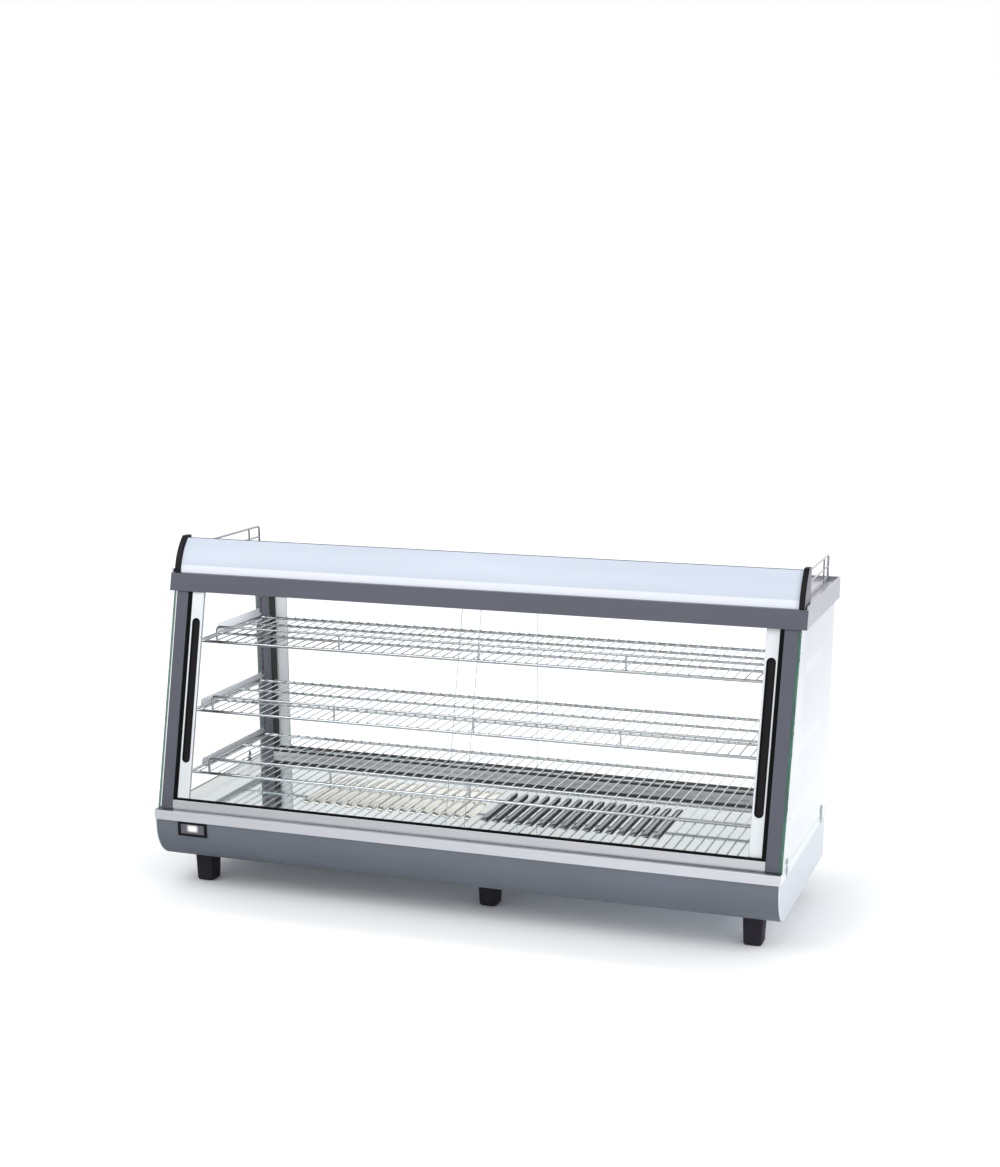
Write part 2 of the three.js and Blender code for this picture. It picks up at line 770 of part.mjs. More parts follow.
// Black insert with a groove for each pane, and a column at each end that the doors close against
function seal(place, point, halfLength, columnWidth) {
  const near = sheet + seat;
  const far = trackDepth - sheet - seat;
  const ledge = seat + shadowHeight + sheet + seat;
  const ledgeEnd = shadowDepth + sheet + seat;
  const low = seat + sheet + seat;
  const foot = [[far, low], [ledgeEnd, low], [ledgeEnd, ledge], [near, ledge]].map(([d, h]) => place(d, h));
  const [a0, a1] = [outerPaneDepth - seat, outerPaneDepth + paneThickness + seat];
  const [b0, b1] = [innerPaneDepth - seat, innerPaneDepth + paneThickness + seat];
  const crown = [[near, sealHeight], [a0, sealHeight], [a0, grooveFloor], [a1, grooveFloor], [a1, sealHeight],
    [b0, sealHeight], [b0, grooveFloor], [b1, grooveFloor], [b1, sealInnerHeight], [far, sealInnerHeight]];
  const insert = alongX([...crown.map(([d, r]) => point(d, r)), ...foot], -halfLength, halfLength);
  const top = headerBottom - trayTop - seat;
  const column = [place(near, top), place(far, top), ...foot];
  const columns = sides.map(([, side]) =>
    alongX(column, side * halfLength, side * (halfLength - columnWidth)));
  return join(insert, ...columns);
}

// Grooves in the underside of a header, for the panes' upper edges
function headerGrooves(place, halfLength) {
  return [outerPaneDepth, innerPaneDepth].map((depth) => {
    const [near, far] = [depth - seat, depth + paneThickness + seat];
    const low = windowHeight - overrun;
    const high = windowHeight + paneTuck + paneLift;
    return alongX([place(near, low), place(far, low), place(far, high), place(near, high)],
      -halfLength, halfLength);
  });
}

// Two headers that the posts carry, with the panes' upper grooves, joined by the ceiling sheet
function ceiling() {
  const half = postOuter;
  const frontHeader = alongX(leaningBar(0, trackDepth, headerBottom, ceilingTop), -half, half);
  const rearHeader = block(-half, half, rearTrackFace - trackDepth, rearTrackFace, headerBottom, ceilingTop);
  const panel = block(-half, half, leanY(trackDepth / 2, ceilingTop), rearTrackFace - trackDepth / 2,
    ceilingTop - sheet, ceilingTop);
  return cut(join(frontHeader, rearHeader, panel),
    ...headerGrooves(frontPlace, frontPostInner), ...headerGrooves(rearPlace, rearPostInner));
}

function buildTracks() {
  const tracks = new THREE.Group();
  const frontHalf = frontPostInner - seat;
  const rearHalf = rearPostInner - seat;
  addPiece(tracks, 'front_track', track(frontPlace, frontHalf), 'brushedSteel');
  addPiece(tracks, 'rear_track', track(rearPlace, rearHalf), 'brushedSteel');
  addPiece(tracks, 'front_seal', seal(frontPlace, leanPoint, frontHalf, frontSealWidth), 'blackPlastic');
  addPiece(tracks, 'rear_seal', seal(rearPlace, rearPoint, rearHalf, rearSealWidth), 'blackPlastic');
  addPiece(tracks, 'ceiling', ceiling(), 'brushedSteel');
  return tracks;
}

// Doors, in a frame whose Y is the depth into the case and whose Z runs up the door

function doorPane(side, depth, farEdge, top) {
  const outerEdge = farEdge - stileWidth + paneBite;
  return block(side * outerEdge, -side * doorOverlap / 2, depth, depth + paneThickness,
    grooveFloor + seat, top);
}

function stileOutline(side, depth, farEdge) {
  const near = depth + (paneThickness - stileThickness) / 2;
  const far = near + stileThickness;
  const inner = farEdge - stileWidth;
  const bite = inner + paneBite + seat;
  const c = stileChamfer;
  const grooveFar = depth + paneThickness + seat;
  const points = [[inner + c, near], [farEdge - c, near], [farEdge, near + c], [farEdge, far - c],
    [farEdge - c, far], [inner, far], [inner, grooveFar], [bite, grooveFar],
    [bite, depth - seat], [inner, depth - seat], [inner, near + c]];
  return points.map(([x, y]) => [side * x, y]);
}

// Upright slot outline with round ends
function roundedSlot(x, low, length, width) {
  const radius = width / 2;
  return [...arc(x, low + length - radius, radius, radius, 0, 180, handleArcSteps),
    ...arc(x, low + radius, radius, radius, 180, 360, handleArcSteps)];
}

function doorStile(side, depth, farEdge, top) {
  const bar = alongZ(stileOutline(side, depth, farEdge), sealHeight + doorPlay, top);
  const x = side * (farEdge - stileWidth / 2);
  const near = depth + (paneThickness - stileThickness) / 2;
  const pocket = alongY(roundedSlot(x, handleBottom - seat, handleLength + play, handleWidth + play),
    near - overrun, near + handleDepth + seat);
  return cut(bar, pocket);
}

function doorHandle(side, depth, farEdge) {
  const x = side * (farEdge - stileWidth / 2);
  const near = depth + (paneThickness - stileThickness) / 2;
  const shell = alongY(roundedSlot(x, handleBottom, handleLength, handleWidth), near, near + handleDepth);
  const hollow = alongY(roundedSlot(x, handleBottom + handleWall, handleLength - 2 * handleWall,
    handleWidth - 2 * handleWall), near - overrun, near + handleDepth - handleWall);
  return cut(shell, hollow);
}

function addDoor(parent, name, side, depth, farEdge, paneTop, stileTop) {
  const door = new THREE.Group();
  addPiece(door, `${name}_glass`, doorPane(side, depth, farEdge, paneTop), 'clearGlass');
  addPiece(door, `${name}_stile`, doorStile(side, depth, farEdge, stileTop), 'aluminium');
  addPiece(door, `${name}_handle`, doorHandle(side, depth, farEdge), 'blackPlastic');
  parent.add(door);
}

// Leaning pair: the left door runs in front of the right one
function buildFrontDoors() {
  const doors = new THREE.Group();
  doors.position.set(0, glassFoot, trayTop);
  doors.rotation.x = -lean;
  const farEdge = frontPostInner - seat - frontSealWidth - seat;
  const near = outerPaneDepth + (paneThickness - stileThickness) / 2;
  const stileTop = (headerBottom - trayTop + near * Math.sin(lean)) / Math.cos(lean) - doorPlay;
  const paneTop = (windowHeight + paneTuck) / Math.cos(lean);
  addDoor(doors, 'front_door_left', -1, outerPaneDepth, farEdge, paneTop, stileTop);
  addDoor(doors, 'front_door_right', 1, innerPaneDepth, farEdge, paneTop, stileTop);
  return doors;
}

// Upright pair behind, turned so that its outer side faces the staff
function buildRearDoors() {
  const doors = new THREE.Group();
  doors.position.set(0, rearTrackFace, trayTop);
  doors.rotation.z = Math.PI;
  const farEdge = rearPostInner - seat - rearSealWidth - seat;
  const stileTop = headerBottom - trayTop - doorPlay;
  const paneTop = windowHeight + paneTuck;
  addDoor(doors, 'rear_door_left', 1, outerPaneDepth, farEdge, paneTop, stileTop);
  addDoor(doors, 'rear_door_right', -1, innerPaneDepth, farEdge, paneTop, stileTop);
  return doors;
}

// Cap: folded cover with a raised lip, and the painted fascia

function cover() {
  const outline = [[leanY(0, capBottom), capBottom], [rear, capBottom], [rear, capTop + lipHeight],
    [leanY(0, capTop + lipHeight), capTop + lipHeight]];
  const body = alongX(outline, -capHalfWidth, capHalfWidth);
  const lipFront = leanY(0, capBottom) - overrun;
  const above = block(lipThickness - capHalfWidth, capHalfWidth - lipThickness, lipFront, rear - lipThickness,
    coverTop, capTop + lipHeight + overrun);
  const below = block(coverSheet - capHalfWidth, capHalfWidth - coverSheet, lipFront, rear - coverSheet,
    capBottom + coverSheet, coverUnder);
  const mouth = block(-glassOuter - seat, glassOuter + seat, lipFront, rear - coverSheet,
    capBottom - overrun, capBottom + coverSheet + overrun);
  return cut(body, above, below, mouth);
}

function fascia() {
  const near = -fasciaStandoff;
  return alongX(leaningBar(near, near + fasciaThickness, capBottom, capTop), -capHalfWidth, capHalfWidth);
}

// Sign box, in a frame with its origin at the foot of the sign's end caps

// Curve of the sign's front, from the foot up
function signCurve(inset) {
  const radius = signCurveRadius - inset;
  const start = THREE.MathUtils.degToRad(signCurveStart);
  const middleY = signCurveRadius * Math.cos(start);
  const middleZ = -signCurveRadius * Math.sin(start);
  return arc(middleY, middleZ, radius, radius, 180 - signCurveStart, 180 - signCurveEnd, arcSteps);
}

function signDepth() {
  const points = signCurve(0);
  return points[points.length - 1][0] + signTopDepth;
}

function endCap(side) {
  const outline = [...signCurve(0), [signDepth(), signRise], [signDepth(), 0]];
  return alongX(outline, side * (signHalfWidth - endCapThickness), side * signHalfWidth);
}

function signPanel() {
  const outer = signCurve(signRecess).filter(([, z]) => z > 0);
  const inner = signCurve(signRecess + signPanelThickness).filter(([, z]) => z > 0);
  const outline = [[outer[0][0], 0], ...outer, ...inner.reverse(), [inner[inner.length - 1][0], 0]];
  const half = signHalfWidth - endCapThickness - seat;
  return alongX(outline, -half, half);
}

// Sheet that closes the sign box on top and behind, with a holder for the lamp
function signBack() {
  const half = signHalfWidth - endCapThickness - seat;
  const panelEnd = signCurve(signRecess + signPanelThickness);
  const topFront = panelEnd[panelEnd.length - 1][0] + seat;
  const topZ = panelEnd[panelEnd.length - 1][1];
  const back = signDepth();
  const inside = back - signBackSheet;
  const fold = [[topFront, topZ], [topFront, topZ - signBackSheet], [inside, topZ - signBackSheet],
    [inside, 0], [back, 0], [back, topZ]];
  const holders = [-1, 0, 1].map((place) => {
    const x = place * (half - lampHolderInset);
    const reach = back - lampDiameter;
    return block(x - lampHolderWidth / 2, x + lampHolderWidth / 2, reach, back - signBackSheet / 2,
      lampRise - lampHolderWidth / 2, lampRise + lampHolderWidth / 2);
  });
  const lampHole = wireX(lampY(), lampRise, half, lampDiameter + play, barFacets);
  return cut(join(alongX(fold, -half, half), ...holders), lampHole);
}

function lampY() {
  return signDepth() - lampDiameter - lampHolderWidth / 2;
}

function signLamp() {
  const half = signHalfWidth - endCapThickness - seat - lampHolderWidth;
  return wireX(lampY(), lampRise, half, lampDiameter, barFacets);
}

function buildSign() {
  const sign = new THREE.Group();
  sign.position.set(0, leanY(-fasciaStandoff, capTop) + signStandoff, capTop + seat);
  for (const [name, side] of sides) {
    addPiece(sign, `sign_end_cap_${name}`, endCap(side), 'blackPlastic');
  }
  addPiece(sign, 'sign_panel', signPanel(), 'signAcrylic');
  addPiece(sign, 'sign_back', signBack(), 'greyPaint');
  addPiece(sign, 'sign_lamp', signLamp(), 'lampGlass');
  return sign;
}

// Gallery rail: three wires from the sign box back to two legs on a flat base bar
function galleryRail() {
  const start = leanY(-fasciaStandoff, capTop) + signStandoff + signDepth() + seat;
  const end = rear - lipThickness - railRearInset;
  const at = (y, z) => new THREE.Vector3(0, y, z);
  const bend = arc(end - railBend, railHeight - railBend, railBend, railBend, 90, 0, bendSteps)
    .map(([y, z]) => at(y, z));
  const top = rod([at(start, railHeight), ...bend, at(end, railFlat / 2)], railWire, wireFacets, xAxis);
  const lower = railRiseShares.slice(1).map((share) =>
    rod([at(start, railHeight * share), at(end, railHeight * share)], thinRailWire, wireFacets, xAxis));
  const leg = rod([at(end - railPostGap, railFlat / 2), at(end - railPostGap, railHeight)],
    thinRailWire, wireFacets, xAxis);
  const bar = block(-railWire / 2, railWire / 2, start, end + railWire / 2, 0, railFlat);
  return join(top, ...lower, leg, bar);
}

function buildCap() {
  const cap = new THREE.Group();
  addPiece(cap, 'cap_cover', cover(), 'brushedSteel');
  addPiece(cap, 'cap_fascia', fascia(), 'greyPaint');
  for (const [name, side] of sides) {
    const rail = addPiece(cap, `gallery_rail_${name}`, galleryRail(), 'chrome');
    rail.position.set(side * (halfWidth - railInset), 0, capTop + seat);
  }
  return cap;
}

// Shelves: a frame with welded wires across, and a raised guard along the front

function guard(y) {
  const at = (x, z) => new THREE.Vector3(x, y, z);
  const inner = guardHalfWidth - guardBend;
  const right = arc(inner, guardRise - guardBend, guardBend, guardBend, 90, 0, bendSteps)
    .map(([x, z]) => at(x, z));
  const left = right.map((point) => at(-point.x, point.z)).reverse();
  const path = [at(-guardHalfWidth, 0), ...left, ...right, at(guardHalfWidth, 0)];
  const uprights = [-1, 0, 1].map((place) => {
    const x = place * guardUprightPitch;
    return rod([at(x, 0), at(x, guardRise)], guardUprightWire, wireFacets, yAxis);
  });
  return join(rod(path, guardWire, wireFacets, yAxis), ...uprights);
}

function underWireZ() {
  return -gridWire / 2 - crossWire / 2 - underWireGap;
}

function shelf(level) {
  const frontY = front + shelfFronts[level];
  const rearY = rear - shelfRearGaps[level];
  const pieces = [guard(frontY)];
  for (const y of [frontY, rearY]) {
    pieces.push(wireX(y, 0, shelfHalfWidth, frameWire, wireFacets));
  }
  for (const [, side] of sides) {
    pieces.push(wireY(side * shelfHalfWidth, 0, frontY, rearY, frameWire, wireFacets));
  }
  for (const share of shelfMiddleShares[level]) {
    const y = frontY + (rearY - frontY) * share;
    pieces.push(wireX(y, underWireZ(), shelfHalfWidth, crossWire, wireFacets));
  }
  const pitch = 2 * shelfHalfWidth / gridSpaces;
  for (let wire = 1; wire < gridSpaces; wire += 1) {
    const x = pitch * wire - shelfHalfWidth;
    pieces.push(wireY(x, 0, frontY, rearY, gridWire * Math.SQRT2, gridFacets));
  }
  return join(...pieces);
}

// Angle bracket that hooks into the rear post: an upright arm whose flange carries the shelf's wires
function bracket(level, side) {
  const tip = front + bracketFronts[level];
  const heel = rearPostFront - seat;
  const armRear = heel - bracketRearGap;
  const top = bracketTops[level];
  const flangeTop = underWireZ() - crossWire / 2 - seat;
  const low = flangeTop - bracketSheet;
  const half = bracketSheet / 2;
  const lugFront = armRear - bracketLugWidth;
  const outline = [[tip, low], [lugFront, low], [lugFront, -bracketLugDrop], [armRear, -bracketLugDrop],
    [armRear, top], [tip + bracketCorner, top], [tip, top - bracketCorner]];
  const edges = [-side * (half + bracketFlange), 0].sort((a, b) => a - b);
  const flange = block(...edges, tip, lugFront, low, flangeTop);
  const hooks = [0, 1].map((below) => alongX(hookOutline(level, below, armRear), -half, half));
  return join(alongX(outline, -half, half), flange, ...hooks);
}

// Hook from the arm's rear end through a slot, its lip down behind the post's front wall
function hookOutline(level, below, armRear) {
  const low = slotBottom(shelfSlots[level] - below) - shelfHeight(level) + seat;
  const start = armRear - bracketSheet;
  const inner = rearPostFront + postWall + seat;
  const outer = inner + hookThickness;
  return [[start, low], [inner, low], [inner, low - hookLip], [outer, low - hookLip],
    [outer, low + hookNeck], [start, low + hookNeck]];
}

function shelfHeight(level) {
  return slotBottom(shelfSlots[level]) + shelfAboveSlot;
}

function buildShelves() {
  const shelves = new THREE.Group();
  ['lower', 'middle', 'upper'].forEach((name, level) => {
    const tier = new THREE.Group();
    tier.position.z = shelfHeight(level);
    addPiece(tier, `shelf_${name}`, shelf(level), 'chrome');
    for (const [sideName, side] of sides) {
      const arm = addPiece(tier, `bracket_${name}_${sideName}`, bracket(level, side), 'brushedSteel');
      arm.position.x = side * slotX;
    }
    shelves.add(tier);
  });
  return shelves;
}

// Thermometer in the base's front, and the controls on its rear wall

function thermometerBezel() {
  const face = front + seat / 2;
  const half = bezelWidth / 2;
  const halfHeight = bezelHeight / 2;
  const plate = block(-half, half, face, face + bezelFlange, -halfHeight, halfHeight);
  const body = block(-bezelBodyWidth / 2, bezelBodyWidth / 2, face + bezelFlange / 2, face + bezelBodyDepth,
    -bezelBodyHeight / 2, bezelBodyHeight / 2);
  const pocket = block(-displayWidth / 2, displayWidth / 2, face - overrun,
    face + displaySink + displayThickness + seat, -displayHeight / 2, displayHeight / 2);
  return cut(join(plate, body), pocket);
}

function thermometerDisplay() {
  const face = front + seat / 2 + displaySink;
  return block(seat - displayWidth / 2, displayWidth / 2 - seat, face, face + displayThickness,
    seat - displayHeight / 2, displayHeight / 2 - seat);
}

function thermostatKnob() {
  const start = rearWallFace + seat;
  const skirt = roundBar(0, 0, knobDiameter, start, start + knobBaseHeight, knobFacets);
  const grip = block(-knobGripWidth / 2, knobGripWidth / 2, start + knobBaseHeight / 2, start + knobHeight,
    -knobGripLength / 2, knobGripLength / 2);
  const shaft = roundBar(0, 0, shaftDiameter, start - shaftLength, start + knobBaseHeight / 2, barFacets);
  return join(skirt, grip, shaft);
}

function switchHousing() {
  const start = rearWallFace + seat;
  const flange = block(-switchWidth / 2, switchWidth / 2, start, start + switchFlange,
    -switchHeight / 2, switchHeight / 2);
  const body = block(switchFlange - switchWidth / 2, switchWidth / 2 - switchFlange, start - switchBody,
    start + switchFlange / 2, switchFlange - switchHeight / 2, switchHeight / 2 - switchFlange);
  const halfWide = rockerWidth / 2 + seat;
  const halfTall = rockerHeight / 2 + play;
  const well = block(-halfWide, halfWide, start - rockerDepth - sheet, start + overrun, -halfTall, halfTall);
  return cut(join(flange, body), well);
}

// Rocker about its pivot, which lies in the housing's face
function powerRocker() {
  const tilt = Math.tan(THREE.MathUtils.degToRad(rockerTilt));
  const half = rockerHeight / 2;
  const crest = half * tilt;
  const outline = [[-rockerDepth + crest, -half + seat], [-rockerDepth + crest, half - seat],
    [crest, half - seat], [seat, 0], [crest, -half + seat]];
  return alongX(outline, -rockerWidth / 2, rockerWidth / 2);
}

function cableGland() {
  const bore = glandBore / 2;
  const neck = bore + glandWall;
  const flange = glandDiameter / 2;
  const start = rearWallFace + seat;
  const profile = [[bore, start - glandInside], [neck, start - glandInside], [neck, start],
    [flange, start], [flange, start + glandFlange], [neck + glandStep, start + glandShoulder],
    [neck, start + glandHeight], [bore, start + glandHeight], [bore, start - glandInside]];
  return new THREE.LatheGeometry(profile.map(([r, y]) => new THREE.Vector2(r, y)), glandFacets);
}

function buildControls() {
  const controls = new THREE.Group();
  const bezelX = bezelInset + bezelWidth / 2 - halfWidth;
  addPiece(controls, 'thermometer_bezel', thermometerBezel(), 'blackPlastic')
    .position.set(bezelX, 0, bezelMiddleZ());
  addPiece(controls, 'thermometer_display', thermometerDisplay(), 'displayGlass')
    .position.set(bezelX, 0, bezelMiddleZ());
  addPiece(controls, 'thermostat_knob', thermostatKnob(), 'blackPlastic').position.set(knobX, 0, controlZ);
  addPiece(controls, 'switch_housing', switchHousing(), 'blackPlastic').position.set(rockerX, 0, controlZ);
  const rocker = addPiece(controls, 'power_rocker', powerRocker(), 'blackPlastic');
  rocker.position.set(rockerX, rearWallFace + seat, controlZ);
  rocker.rotation.x = THREE.MathUtils.degToRad(rockerTilt);
  addPiece(controls, 'cable_gland', cableGland(), 'blackPlastic').position.set(glandX, 0, controlZ);
  return controls;
}

const displayCase = new THREE.Group();
displayCase.add(buildBase(), buildFrame(), buildTracks(), buildFrontDoors(), buildRearDoors());
displayCase.add(buildCap(), buildSign(), buildShelves(), buildControls());

export default displayCase;
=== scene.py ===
"""Heated display case for a shop counter, dressed for a studio picture.

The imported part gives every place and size. Sheet, profiles and glass are copies of its pieces with
eased edges; wires, louvres, curved panels, feet and handles are surfaces worked out here. Lengths
are in metres, X along the case, Y from the customers to the staff, Z up.
"""

import json
import logging
import math
from collections.abc import Callable
from dataclasses import dataclass
from enum import Enum

import bmesh
import bpy
import numpy as np
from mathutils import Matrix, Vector

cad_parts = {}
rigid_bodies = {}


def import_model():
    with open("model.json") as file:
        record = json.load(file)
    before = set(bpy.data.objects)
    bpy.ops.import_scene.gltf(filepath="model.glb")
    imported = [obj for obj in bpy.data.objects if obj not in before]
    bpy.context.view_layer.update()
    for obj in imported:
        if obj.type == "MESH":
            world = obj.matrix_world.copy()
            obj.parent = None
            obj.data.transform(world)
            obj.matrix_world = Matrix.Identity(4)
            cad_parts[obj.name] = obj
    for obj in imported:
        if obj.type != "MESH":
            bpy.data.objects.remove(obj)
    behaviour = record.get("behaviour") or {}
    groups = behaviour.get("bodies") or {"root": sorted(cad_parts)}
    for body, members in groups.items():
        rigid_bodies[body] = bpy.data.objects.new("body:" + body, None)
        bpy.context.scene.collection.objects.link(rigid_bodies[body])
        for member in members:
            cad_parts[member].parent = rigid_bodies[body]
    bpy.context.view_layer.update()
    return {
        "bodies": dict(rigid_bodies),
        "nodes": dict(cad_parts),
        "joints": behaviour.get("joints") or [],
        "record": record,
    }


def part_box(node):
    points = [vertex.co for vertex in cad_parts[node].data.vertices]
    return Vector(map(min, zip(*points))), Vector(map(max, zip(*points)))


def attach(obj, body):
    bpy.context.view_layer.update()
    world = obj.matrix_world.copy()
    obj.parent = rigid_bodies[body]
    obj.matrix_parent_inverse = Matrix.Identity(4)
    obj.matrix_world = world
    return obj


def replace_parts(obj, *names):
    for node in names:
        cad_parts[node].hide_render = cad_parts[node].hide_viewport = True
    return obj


LOG = logging.getLogger("display_case")
MM = 0.001
SIDES = {"left": -1.0, "right": 1.0}
FRONT_FACE = -0.225
REAR_FACE = 0.225
TRAY_TOP = 0.160
LEAN = math.radians(13.7)
# Y of the tracks' outer planes, at the tray's top.
DOOR_PLANES = {"front": FRONT_FACE + 14 * MM, "rear": REAR_FACE - 2 * MM}
# Depth behind the front face of the two wires that each shelf's grid lies on.
SHELF_WIRES = {"lower": (0.195, 0.320), "middle": (0.220, 0.318), "upper": (0.238, 0.347)}
UPRIGHT = (0.0, 0.0, 1.0)
# Share of its normal along a direction above which a face counts as turned that way.
FACING = 0.9
# Bends up to the first are shaded smooth, and bends past the second are eased.
GENTLE = math.radians(40)
SHARP = math.radians(38)
# Corners this close are one, and faces this even are one.
SAME_CORNER = 0.002 * MM
FLAT = math.radians(0.4)
LARGE_FACES_LEAD = 100
SOFT_EDGE = "SMOOTHSTEP"
FRAME: dict = {}

Tree = bpy.types.NodeTree
Node = bpy.types.Node
Socket = bpy.types.NodeSocket
Piece = bpy.types.Object
Pair = tuple[float, float]
Point = tuple[float, float, float]
Colour = tuple[float, float, float, float]
Faces = list[tuple[int, ...]]


class Axis(Enum):
    """Direction of a coordinate."""

    X = 0
    Y = 1
    Z = 2


class Slot(Enum):
    """Material slots that the part's record names."""

    BRUSHED_STEEL = "brushed_steel"
    BASE_STEEL = "base_steel"
    GREY_PAINT = "grey_paint"
    BASE_PAINT = "base_paint"
    CHROME = "chrome"
    HEATER_STEEL = "heater_steel"
    ALUMINIUM = "aluminium"
    BLACK_PLASTIC = "black_plastic"
    BLACK_RUBBER = "black_rubber"
    CLEAR_GLASS = "clear_glass"
    SIGN_ACRYLIC = "sign_acrylic"
    LAMP = "lamp"
    DISPLAY = "display"


# Shader tools


def linear(hex_colour: str) -> Colour:
    """Turns an sRGB hex colour into linear light.

    Args:
        hex_colour: six hex digits after a hash.

    Returns:
        Red, green, blue and an alpha of one.
    """
    values = np.array([int(hex_colour[i:i + 2], 16) for i in (1, 3, 5)]) / 255.0
    light = np.where(values <= 0.04045, values / 12.92, ((values + 0.055) / 1.055) ** 2.4)
    return (*light.tolist(), 1.0)


def add_node(tree: Tree, kind: str, inputs: dict | None = None, **settings) -> Node:
    """Adds a shader node with its settings, values and links.

    Args:
        tree: node tree that gets the node.
        kind: node type without its ShaderNode prefix.
        inputs: socket name or number, with its value or the output that feeds it.
        settings: properties of the node.

    Returns:
        The node.
    """
    node = tree.nodes.new(f"ShaderNode{kind}")
    for name, value in settings.items():
        setattr(node, name, value)
    for key, value in (inputs or {}).items():
        if isinstance(value, Socket):
            tree.links.new(value, node.inputs[key])
        else:
            node.inputs[key].default_value = value
    return node


def maths(tree: Tree, operation: str, *values: Socket | float, clamp: bool = False) -> Socket:
    """Works out a value from others.

    Args:
        tree: node tree.
        operation: kind of sum.
        values: sockets or numbers, in order.
        clamp: whether the result stays between zero and one.

    Returns:
        The result's socket.
    """
    return add_node(tree, "Math", dict(enumerate(values)), operation=operation, use_clamp=clamp).outputs[0]


def coordinate(tree: Tree, axis: Axis) -> Socket:
    """Place on the object along one axis, in metres.

    Args:
        tree: node tree.
        axis: the axis.

    Returns:
        The coordinate's socket.
    """
    place = add_node(tree, "TexCoord").outputs["Object"]
    return add_node(tree, "SeparateXYZ", {0: place}).outputs[axis.value]


def grade(tree: Tree, value: Socket, reach: Pair, result: Pair, easing: str = "LINEAR") -> Socket:
    """Maps a value's reach to a range of results, and holds the ends.

    Args:
        tree: node tree.
        value: socket to map.
        reach: values where the result starts and ends its way.
        result: results there.
        easing: kind of way between them.

    Returns:
        The result's socket.
    """
    inputs = {"Value": value, "From Min": reach[0], "From Max": reach[1],
              "To Min": result[0], "To Max": result[1]}
    return add_node(tree, "MapRange", inputs, interpolation_type=easing).outputs["Result"]


def streaks(tree: Tree, size: Point, detail: float) -> Socket:
    """Noise on Object coordinates whose spots measure size along X, Y and Z.

    Args:
        tree: node tree.
        size: length of a spot along each axis.
        detail: octaves of the noise.

    Returns:
        The noise's value socket.
    """
    place = add_node(tree, "TexCoord").outputs["Object"]
    scale = tuple(1.0 / length for length in size)
    mapped = add_node(tree, "Mapping", {"Vector": place, "Scale": scale}).outputs["Vector"]
    inputs = {"Vector": mapped, "Scale": 1.0, "Detail": detail, "Roughness": 0.55}
    return add_node(tree, "TexNoise", inputs).outputs["Fac"]


def spread(tree: Tree, noise: Socket, low: float, high: float) -> Socket:
    """Stretches a noise's middle range to the range from low to high.

    Args:
        tree: node tree.
        noise: noise socket.
        low: result where the noise is weak.
        high: result where the noise is strong.

    Returns:
        The mapped socket.
    """
    return grade(tree, noise, (0.3, 0.7), (low, high))


def blend(tree: Tree, share: Socket, first: Colour | Socket, second: Colour | Socket) -> Socket:
    """Mixes two colours by a share.

    Args:
        tree: node tree.
        share: socket from zero, all first, to one, all second.
        first: linear colour or socket.
        second: linear colour or socket.

    Returns:
        The mixed colour's socket.
    """
    return add_node(tree, "Mix", {"Factor": share, 6: first, 7: second}, data_type="RGBA").outputs[2]


@dataclass(frozen=True)
class Finish:
    """A surface: a real material and the process that gave it its look.

    A noise of spots drives the tone, in shares of the colour, and the roughness. Smears that
    handling leaves have a size and a change in roughness. The relief follows the spots, or a finer
    grain where one is given. Spots and grain have a size along X, Y and Z.
    """

    name: str
    slot: Slot
    colour: str
    roughness: Pair
    metallic: float = 0.0
    glare: float = 0.5
    opacity: float = 1.0
    spot: Point = (0.2, 0.2, 0.2)
    detail: float = 2.0
    tones: Pair = (1.0, 1.0)
    smears: Pair = (0.18, 0.0)
    grain: Point | None = None
    depth: float = 0.0
    strength: float = 0.3

    def material(self) -> bpy.types.Material:
        """Makes the material the first time, and finds it after that.

        Returns:
            The material.
        """
        known = bpy.data.materials.get(self.name)
        if known is not None:
            return known
        material = bpy.data.materials.new(self.name)
        material.use_nodes = True
        tree = material.node_tree
        tree.nodes.clear()
        inputs = {"Base Color": linear(self.colour), "Roughness": self.roughness[0],
                  "Metallic": self.metallic, "Specular IOR Level": self.glare, "Alpha": self.opacity}
        shader = add_node(tree, "BsdfPrincipled", inputs)
        add_node(tree, "OutputMaterial", {"Surface": shader.outputs["BSDF"]})
        self.dress(tree, shader)
        return material

    def dress(self, tree: Tree, shader: Node) -> None:
        """Adds the spots in tone and roughness, the smears that handling leaves, and the relief.

        Args:
            tree: the material's node tree.
            shader: its Principled node.
        """
        spots = streaks(tree, self.spot, self.detail)
        tree.links.new(blend(tree, spread(tree, spots, 0.0, 1.0), *self.ends()), shader.inputs["Base Color"])
        rough = spread(tree, spots, *self.roughness)
        size, change = self.smears
        if change:
            smear = spread(tree, streaks(tree, (size, size, size), 2.0), -change, change)
            rough = maths(tree, "ADD", rough, smear)
        tree.links.new(rough, shader.inputs["Roughness"])
        if self.depth:
            height = streaks(tree, self.grain, 2.0) if self.grain else spots
            inputs = {"Height": height, "Distance": self.depth, "Strength": self.strength}
            tree.links.new(add_node(tree, "Bump", inputs).outputs["Normal"], shader.inputs["Normal"])

    def ends(self) -> tuple[Colour, Colour]:
        """The colours where the noise is weak and where it is strong."""
        return self.tint(self.tones[0]), self.tint(self.tones[1])

    def tint(self, change: float) -> Colour:
        """The colour made lighter or darker by a share."""
        return (*(min(value * change, 1.0) for value in linear(self.colour)[:3]), 1.0)


